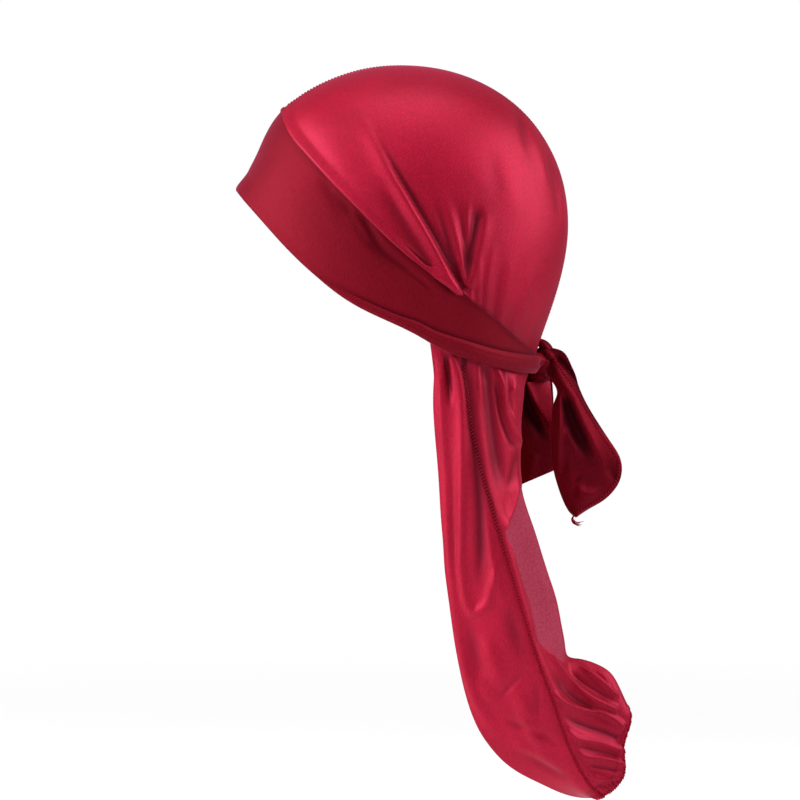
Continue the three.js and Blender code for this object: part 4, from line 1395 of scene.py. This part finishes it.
@dataclass(frozen=True)
class Lobe:
    """A rounded roll of the knot.

    Attributes:
        place: its middle, in photo pixels.
        side: its middle's x, in millimetres.
        sizes: its half sizes in millimetres: to the wearer's left, along its run and across it.
        tilt: how far its run falls to the back, in degrees.
        creases: how many creases run along it.
        crease: how deep they are, as a share of its size.
        twist: how far they turn round it, in radians over half its run.
    """

    place: Pixel
    side: float
    sizes: Triple
    tilt: float
    creases: int = 3
    crease: float = 0.05
    twist: float = 1.5

    def shape(self, ball: Array) -> Array:
        """Moves the points of a unit ball to the lobe's surface."""
        ball = unit(ball)
        round_way = np.arctan2(ball[:, 2], ball[:, 0])
        swell = 1 + self.crease * np.cos(self.creases * round_way + self.twist * ball[:, 1])
        x, y, z = (ball * swell[:, None] * np.array(self.sizes) * MM).T
        tilt = math.radians(self.tilt)
        cos, sin = math.cos(tilt), math.sin(tilt)
        turned = np.stack([x, y * cos + z * sin, z * cos - y * sin], axis=-1)
        return turned + VIEW.place(*self.place, self.side * MM)


@dataclass
class Ties:
    """The knot at the nape and the two tie ends that hang from it."""

    rows: int = 110
    columns: int = 70
    near_left: Path = (
        (543, 354), (545, 366), (549.5, 378), (555, 386), (557, 393), (554.5, 401), (551.5, 418), (551, 446),
        (553, 468), (558, 487), (565, 505), (571, 514), (575.5, 517.5),
    )
    near_right: Path = (
        (553, 348), (563, 351.5), (569.5, 361), (575, 375), (580.5, 390.5), (588, 406), (599, 424),
        (611.5, 443), (620.5, 459), (622, 469), (620, 480), (613.5, 491), (602, 501.5), (589, 509),
        (577, 517),
    )
    far_left: Path = (
        (532, 364), (521, 376), (514, 396), (511, 424), (510, 452), (512, 474), (519, 485.5),
    )
    far_right: Path = (
        (551, 370), (552.5, 384), (553.5, 400), (554, 424), (556, 445), (558, 460), (553, 471),
    )
    near_folds: Folds = (
        Fold(((558, 384), (560, 400), (559, 430), (558, 455), (560, 478)), 3.4, 3.5, 4, fade=(0.2, 0.3)),
        Fold(((561, 388), (566, 404), (572, 422), (581, 442), (590, 460), (597, 474)), -5.0, 7, 8,
             fade=(0.2, 0.5)),
        Fold(((546, 356), (560, 378), (574, 404), (586, 430), (598, 456), (608, 478)), 2.2, 4, 5,
             fade=(0.1, 0.4)),
        Fold(((552, 352), (567, 368), (580, 390), (596, 418), (612, 444)), -2.4, 3.5, 3, fade=(0.1, 0.3)),
        Fold(((571, 452), (570, 470), (572, 488)), 1.6, 5, 5, fade=(0.5, 0.5)),
        Fold(((580, 470), (576, 485), (574, 500)), -1.6, 3.5, 3.5),
        Fold(((604, 462), (612, 472), (615, 484)), -1.4, 5, 5),
        Fold(((572, 476), (584, 494), (604, 488)), 3.2, 6, 6),
        Fold(((548, 356), (551, 368), (554, 380)), -2.6, 4, 4, fade=(0.2, 0.4)),
    )
    far_folds: Folds = (
        Fold(((525, 380), (534, 400), (543, 414), (552, 427)), 2.4, 1.2, 14, fade=(0.1, 0.1)),
        Fold(((524, 372), (528, 400), (538, 424), (548, 450)), -4.0, 8, 3.5, fade=(0.1, 0.4)),
        Fold(((536, 450), (532, 466), (530, 480)), 1.6, 5, 5, fade=(0.3, 0.15)),
    )
    # The corner of the far tie end that is folded over
    flap_left: Path = ((527, 382), (534, 398), (542.5, 412), (551, 425))
    flap_right: Path = ((550, 381), (551.5, 396), (552.5, 412), (552.5, 425))
    flap_side: float = 2.0
    flap_tilt: float = 7.0
    flap_flat: Pair = (0.014, 0.026)
    flap_area: float = 0.00024
    wall: float = 0.9 * MM
    full_shade_depth: float = 3.0 * MM
    # x of each tie end in millimetres: at the knot, what it gains, over what share, and how far its edges bow
    near_hang: Quad = (6.0, 9.0, 0.5, 5.0)
    far_hang: Quad = (-6.0, -4.0, 0.6, 3.0)
    bow_share: float = 0.4
    lobe_detail: int = 5
    lobes: tuple[Lobe, ...] = (
        Lobe((531, 361.5), 6.0, (6.0, 9.0, 5.2), -14, creases=2, crease=0.03),
        Lobe((543, 361), 0.0, (7.0, 6.4, 9.0), 14, creases=5, crease=0.06),
        Lobe((545, 346), 1.0, (4.4, 5.8, 3.0), 42, crease=0.07),
        Lobe((549, 354), 4.0, (4.4, 4.4, 3.0), 30, crease=0.07),
        Lobe((540, 375), -2.0, (6.0, 6.0, 5.0), 20, crease=0.06),
    )
    near_sewn: Path = (
        (552, 357), (562, 370), (574, 388), (582, 402), (596, 426), (611, 447), (618, 459), (619.5, 469),
        (617, 480), (611, 489), (601, 498.5), (589, 506), (578, 513),
    )
    far_sewn: Path = ((528, 385), (535, 400), (543, 413), (551, 424))
    sewn_count: int = 120
    sewn_lift: float = 0.5 * MM
    sewn_reach: float = 1.1 * MM
    # The tuft: its path, its x in millimetres, and each strand's drift from the path in pixels
    tuft_radius: float = 0.5 * MM
    tuft_count: int = 12
    tuft_side: float = 14.0
    tuft_spread: float = 0.5
    tuft: Path = ((574, 515), (572.5, 520), (576, 523.5), (580, 523))
    strands: Path = ((0, 0), (2, 1.5), (-3, 1), (4, -2), (1, 3), (-5, -3.5))
    near_flat: Pair = (0.045, 0.13)
    near_area: float = 0.0035
    far_flat: Pair = (0.035, 0.08)
    far_area: float = 0.0018

    def tie(
        self, left: Path, right: Path, side: Array, folds: Folds
    ) -> tuple[Array, Array]:
        """A tie end between two edges drawn in the photo.

        Args:
            left: its left edge.
            right: its right edge.
            side: x at each point.
            folds: its folds.

        Returns:
            The points of its near face, and how much shade is painted into its hollows.
        """
        down = np.linspace(0, 1, self.rows)
        across = np.linspace(0, 1, self.columns)[None, :, None]
        edges = path_curve(left)(down)[:, None] * (1 - across) + path_curve(right)(down)[:, None] * across
        flat = VIEW.place(edges[..., 0], edges[..., 1], side)
        pixels_across, pixels_down = VIEW.project(flat)
        lift = sum((fold.lift(pixels_across, pixels_down) for fold in folds), np.zeros(side.shape))
        return VIEW.place(edges[..., 0], edges[..., 1], side + lift), painted_fold_shade(lift, self.full_shade_depth)

    def hang(self, start: float, gain: float, share: float, bow: float) -> Array:
        """Works out x at each point of a tie end.

        Args:
            start: x at the knot, in millimetres.
            gain: how much it gains.
            share: the share of its run over which it gains that.
            bow: how far its edges bow.

        Returns:
            x in metres, rows by columns.
        """
        down = np.linspace(0, 1, self.rows)[:, None]
        across = np.linspace(-1, 1, self.columns)[None, :]
        bowed = bow * across**2 * smooth(0, self.bow_share, down)
        return (start + gain * smooth(0, share, down) - bowed) * MM

    def build(self, shop: Workshop) -> None:
        """Makes both tie ends, and the folded corner of the far one."""
        way = np.array([1.0, 0, 0])
        # The tie ends take the tie finish, whose darker colour is painted shade; the folded corner keeps the
        # satin's own colour
        near, hollow = self.tie(self.near_left, self.near_right, self.hang(*self.near_hang), self.near_folds)
        piece = shop.sheet(
            "tie_near", near, way, Slot.DULL, ("tie_end_left",), (shop.shade, shop.shade),
            wall=self.wall, merge=True, shares={PAINTED_SHADE: hollow},
        )
        far, hollow = self.tie(self.far_left, self.far_right, self.hang(*self.far_hang), self.far_folds)
        piece = shop.sheet(
            "tie_far", far, way, Slot.DULL, ("tie_end_right",), (shop.shade, shop.shade),
            wall=self.wall, merge=True, shares={PAINTED_SHADE: hollow},
        )
        down = np.linspace(0, 1, self.rows)[:, None]
        across = np.linspace(0, 1, self.columns)[None, :]
        side = (self.flap_side - self.flap_tilt * across * (1 - down)) * MM
        flap, _ = self.tie(self.flap_left, self.flap_right, side, ())
        piece = shop.sheet("tie_far_corner", flap, way, Slot.SATIN, (), (shop.satin, shop.dull), merge=True)
        self.near_points, self.flap_points = near, flap

    def sew(self, shop: Workshop, stitching: "Stitching") -> None:
        """Sews the ties' edges, and leaves a tuft of thread at the near one's corner."""
        for name, points, path in (
            ("near_tie_overlock", self.near_points, self.near_sewn),
            ("far_tie_overlock", self.flap_points, self.far_sewn),
        ):
            line, way = line_on(points, path, self.sewn_count)
            stitching.run(shop, name, line + np.array([self.sewn_lift, 0, 0]), way, self.sewn_reach, ())
        strands = []
        along = np.linspace(0, 1, self.tuft_count)
        for drift in self.strands:
            across, down = (path_curve(self.tuft)(along) + np.array(drift) * along[:, None] ** 2).T
            side = (self.tuft_side + self.tuft_spread * drift[0] * along**2) * MM
            strands.append(VIEW.place(across, down, side))
        shop.strands("thread_tuft", strands, self.tuft_radius)

    def knot(self, shop: Workshop) -> None:
        """Makes the knot of its lobes, the first in the other finish."""
        knot = bmesh.new()
        for lobe in self.lobes:
            made = bmesh.ops.create_icosphere(knot, subdivisions=self.lobe_detail, radius=1.0)["verts"]
            for vert, place in zip(made, lobe.shape(np.array([v.co for v in made]))):
                vert.co = place
        lobe_faces = len(knot.faces) // len(self.lobes)
        mesh = finished(knot, "knot")
        places = np.empty(len(mesh.vertices) * 3, np.float32)
        mesh.vertices.foreach_get("co", places)
        set_uv(mesh, places.reshape(-1, 3)[:, 1:])
        # All lobes but the first take the tie finish, whose darker colour is painted shade
        shop.add("knot", mesh, Slot.DULL, ("knot_core", "knot_wrap"), (shop.shade, shop.dull))
        first = (np.arange(len(mesh.polygons)) < lobe_faces).astype(np.int32)
        mesh.polygons.foreach_set("material_index", first)


@dataclass
class Stitching:
    """Overlock stitches, laid over an edge or a seam."""

    pitch: float = 2.0 * MM
    radius: float = 0.55 * MM
    slant: float = 0.8
    sides: int = 6
    rings: int = 5

    def run(
        self, shop: Workshop, name: str, line: Array, across: Array, reach: float, nodes: tuple[str, ...]
    ) -> None:
        """Lays stitches along a line.

        Args:
            shop: the workshop.
            name: the piece's name.
            line: points along it, close together.
            across: the direction of the stitches at each point, of length 1.
            reach: half the length of a stitch.
            nodes: the solids that it stands for.
        """
        run = run_of(line)
        places = np.arange(self.pitch / 2, run[-1], self.pitch)
        middles, ways = (
            np.stack([np.interp(places, run, table[:, k]) for k in range(3)], axis=-1)
            for table in (line, across)
        )
        ahead = np.gradient(middles, axis=0)
        stitches = bmesh.new()
        for middle, way, along in zip(middles, ways, ahead):
            slant = Vector(way) + Vector(along).normalized() * self.slant
            turned = slant.to_track_quat("Z", "X").to_matrix().to_4x4()
            size = Matrix.Diagonal((self.radius, self.radius, reach, 1.0))
            bmesh.ops.create_uvsphere(
                stitches, u_segments=self.sides, v_segments=self.rings, radius=1.0,
                matrix=Matrix.Translation(Vector(middle)) @ turned @ size,
            )
        shop.add(name, finished(stitches, name), Slot.THREAD, nodes, (shop.thread,))


@dataclass(frozen=True)
class Softbox:
    """A soft rectangular light.

    Attributes:
        name: its name.
        place: where it stands.
        size: its width and height.
        power: its strength in watts.
        target: the point that it looks at.
    """

    name: str
    place: Triple
    size: Pair
    power: float
    target: Triple = (0.0, 0.0, -0.15)

    def build(self) -> None:
        """Adds the light, which the camera doesn't see."""
        data = bpy.data.lights.new(self.name, "AREA")
        data.shape = "RECTANGLE"
        data.size, data.size_y = self.size
        data.energy = self.power
        lamp = add_object(self.name, data)
        lamp.location = self.place
        ahead = Vector(self.target) - Vector(self.place)
        lamp.rotation_euler = ahead.to_track_quat("-Z", "Y").to_euler()
        lamp.visible_camera = False


@dataclass
class Studio:
    """The plain pale floor and the soft lights."""

    floor_z: float = -0.54
    floor_size: float = 40.0
    floor_colour: Colour = (0.9, 0.9, 0.9, 1.0)
    world_light: float = 0.1
    backdrop: float = 1.0
    pool: Pair = (0.4, 1.8)
    floor_fill: float = 0.44
    softboxes: tuple[Softbox, ...] = (
        Softbox("left_softbox", (0.35, -1.6, 0.15), (1.6, 2.2), 45),
        Softbox("right_softbox", (0.2, 1.05, 0.3), (1.0, 1.0), 9.5, target=(0.0, 0.05, -0.06)),
        Softbox("top_softbox", (0.4, 0.1, 1.6), (1.6, 1.6), 16),
        Softbox("front_softbox", (2.6, -0.9, 1.0), (1.8, 1.8), 9),
    )

    def seen_glow(self, tree: Tree) -> Socket:
        """The world's light, brighter where the backdrop itself is seen."""
        seen = add_node(tree, "ShaderNodeLightPath", {}, {}, output="Is Camera Ray")
        return self.world_light + seen * (self.backdrop - self.world_light)

    def floor(self) -> None:
        """Makes the floor, which fades into the backdrop."""
        ground = bmesh.new()
        bmesh.ops.create_grid(
            ground, x_segments=1, y_segments=1, size=self.floor_size,
            matrix=Matrix.Translation((0, 0, self.floor_z)),
        )
        mesh = finished(ground, "floor")
        floor = add_object("floor", mesh)
        material = bpy.data.materials.new("floor")
        tree = empty_tree(material)
        place = add_node(tree, "ShaderNodeTexCoord", {}, {}, output="Object")
        away = add_node(tree, "ShaderNodeVectorMath", {"operation": "LENGTH"}, {0: place}, output="Value")
        reach = {"Value": away, "From Min": self.pool[0], "From Max": self.pool[1]}
        far = add_node(tree, "ShaderNodeMapRange", {"interpolation_type": "SMOOTHSTEP"}, reach)
        seen = add_node(tree, "ShaderNodeLightPath", {}, {}, output="Is Camera Ray")
        bare = add_node(tree, "ShaderNodeBsdfDiffuse", {}, {"Color": self.floor_colour})
        fill = add_node(tree, "ShaderNodeEmission", {}, {"Color": WHITE, "Strength": seen * self.floor_fill})
        lit = add_node(tree, "ShaderNodeAddShader", {}, {0: bare, 1: fill})
        pale = add_node(tree, "ShaderNodeEmission", {}, {"Color": WHITE, "Strength": self.seen_glow(tree)})
        mixed = add_node(tree, "ShaderNodeMixShader", {}, {0: far, 1: lit, 2: pale})
        add_node(tree, "ShaderNodeOutputMaterial", {}, {"Surface": mixed})
        mesh.materials.append(material)

    def build(self) -> None:
        """Makes the floor, the world and the lights."""
        self.floor()
        world = bpy.data.worlds.new("studio")
        bpy.context.scene.world = world
        tree = empty_tree(world)
        sky = add_node(tree, "ShaderNodeBackground", {}, {"Color": WHITE, "Strength": self.seen_glow(tree)})
        add_node(tree, "ShaderNodeOutputWorld", {}, {"Surface": sky})
        for softbox in self.softboxes:
            softbox.build()
        view = bpy.context.scene.view_settings
        view.view_transform = "Standard"
        view.look = "None"


def main() -> None:
    """Builds the camera, the durag and the studio, and notes the sizes."""
    VIEW.make_camera()
    shop = Workshop()
    crown, ties, tail, stitching = Crown(), Ties(), Tail(), Stitching()
    crown.build(shop)
    Band().build(shop)
    Straps().build(shop)
    ties.knot(shop)
    ties.build(shop)
    tail.build(shop)
    for sewn in (crown, tail, ties):
        sewn.sew(shop, stitching)
    Studio().build()
    bpy.context.view_layer.update()


if __name__ == "__main__":
    main()
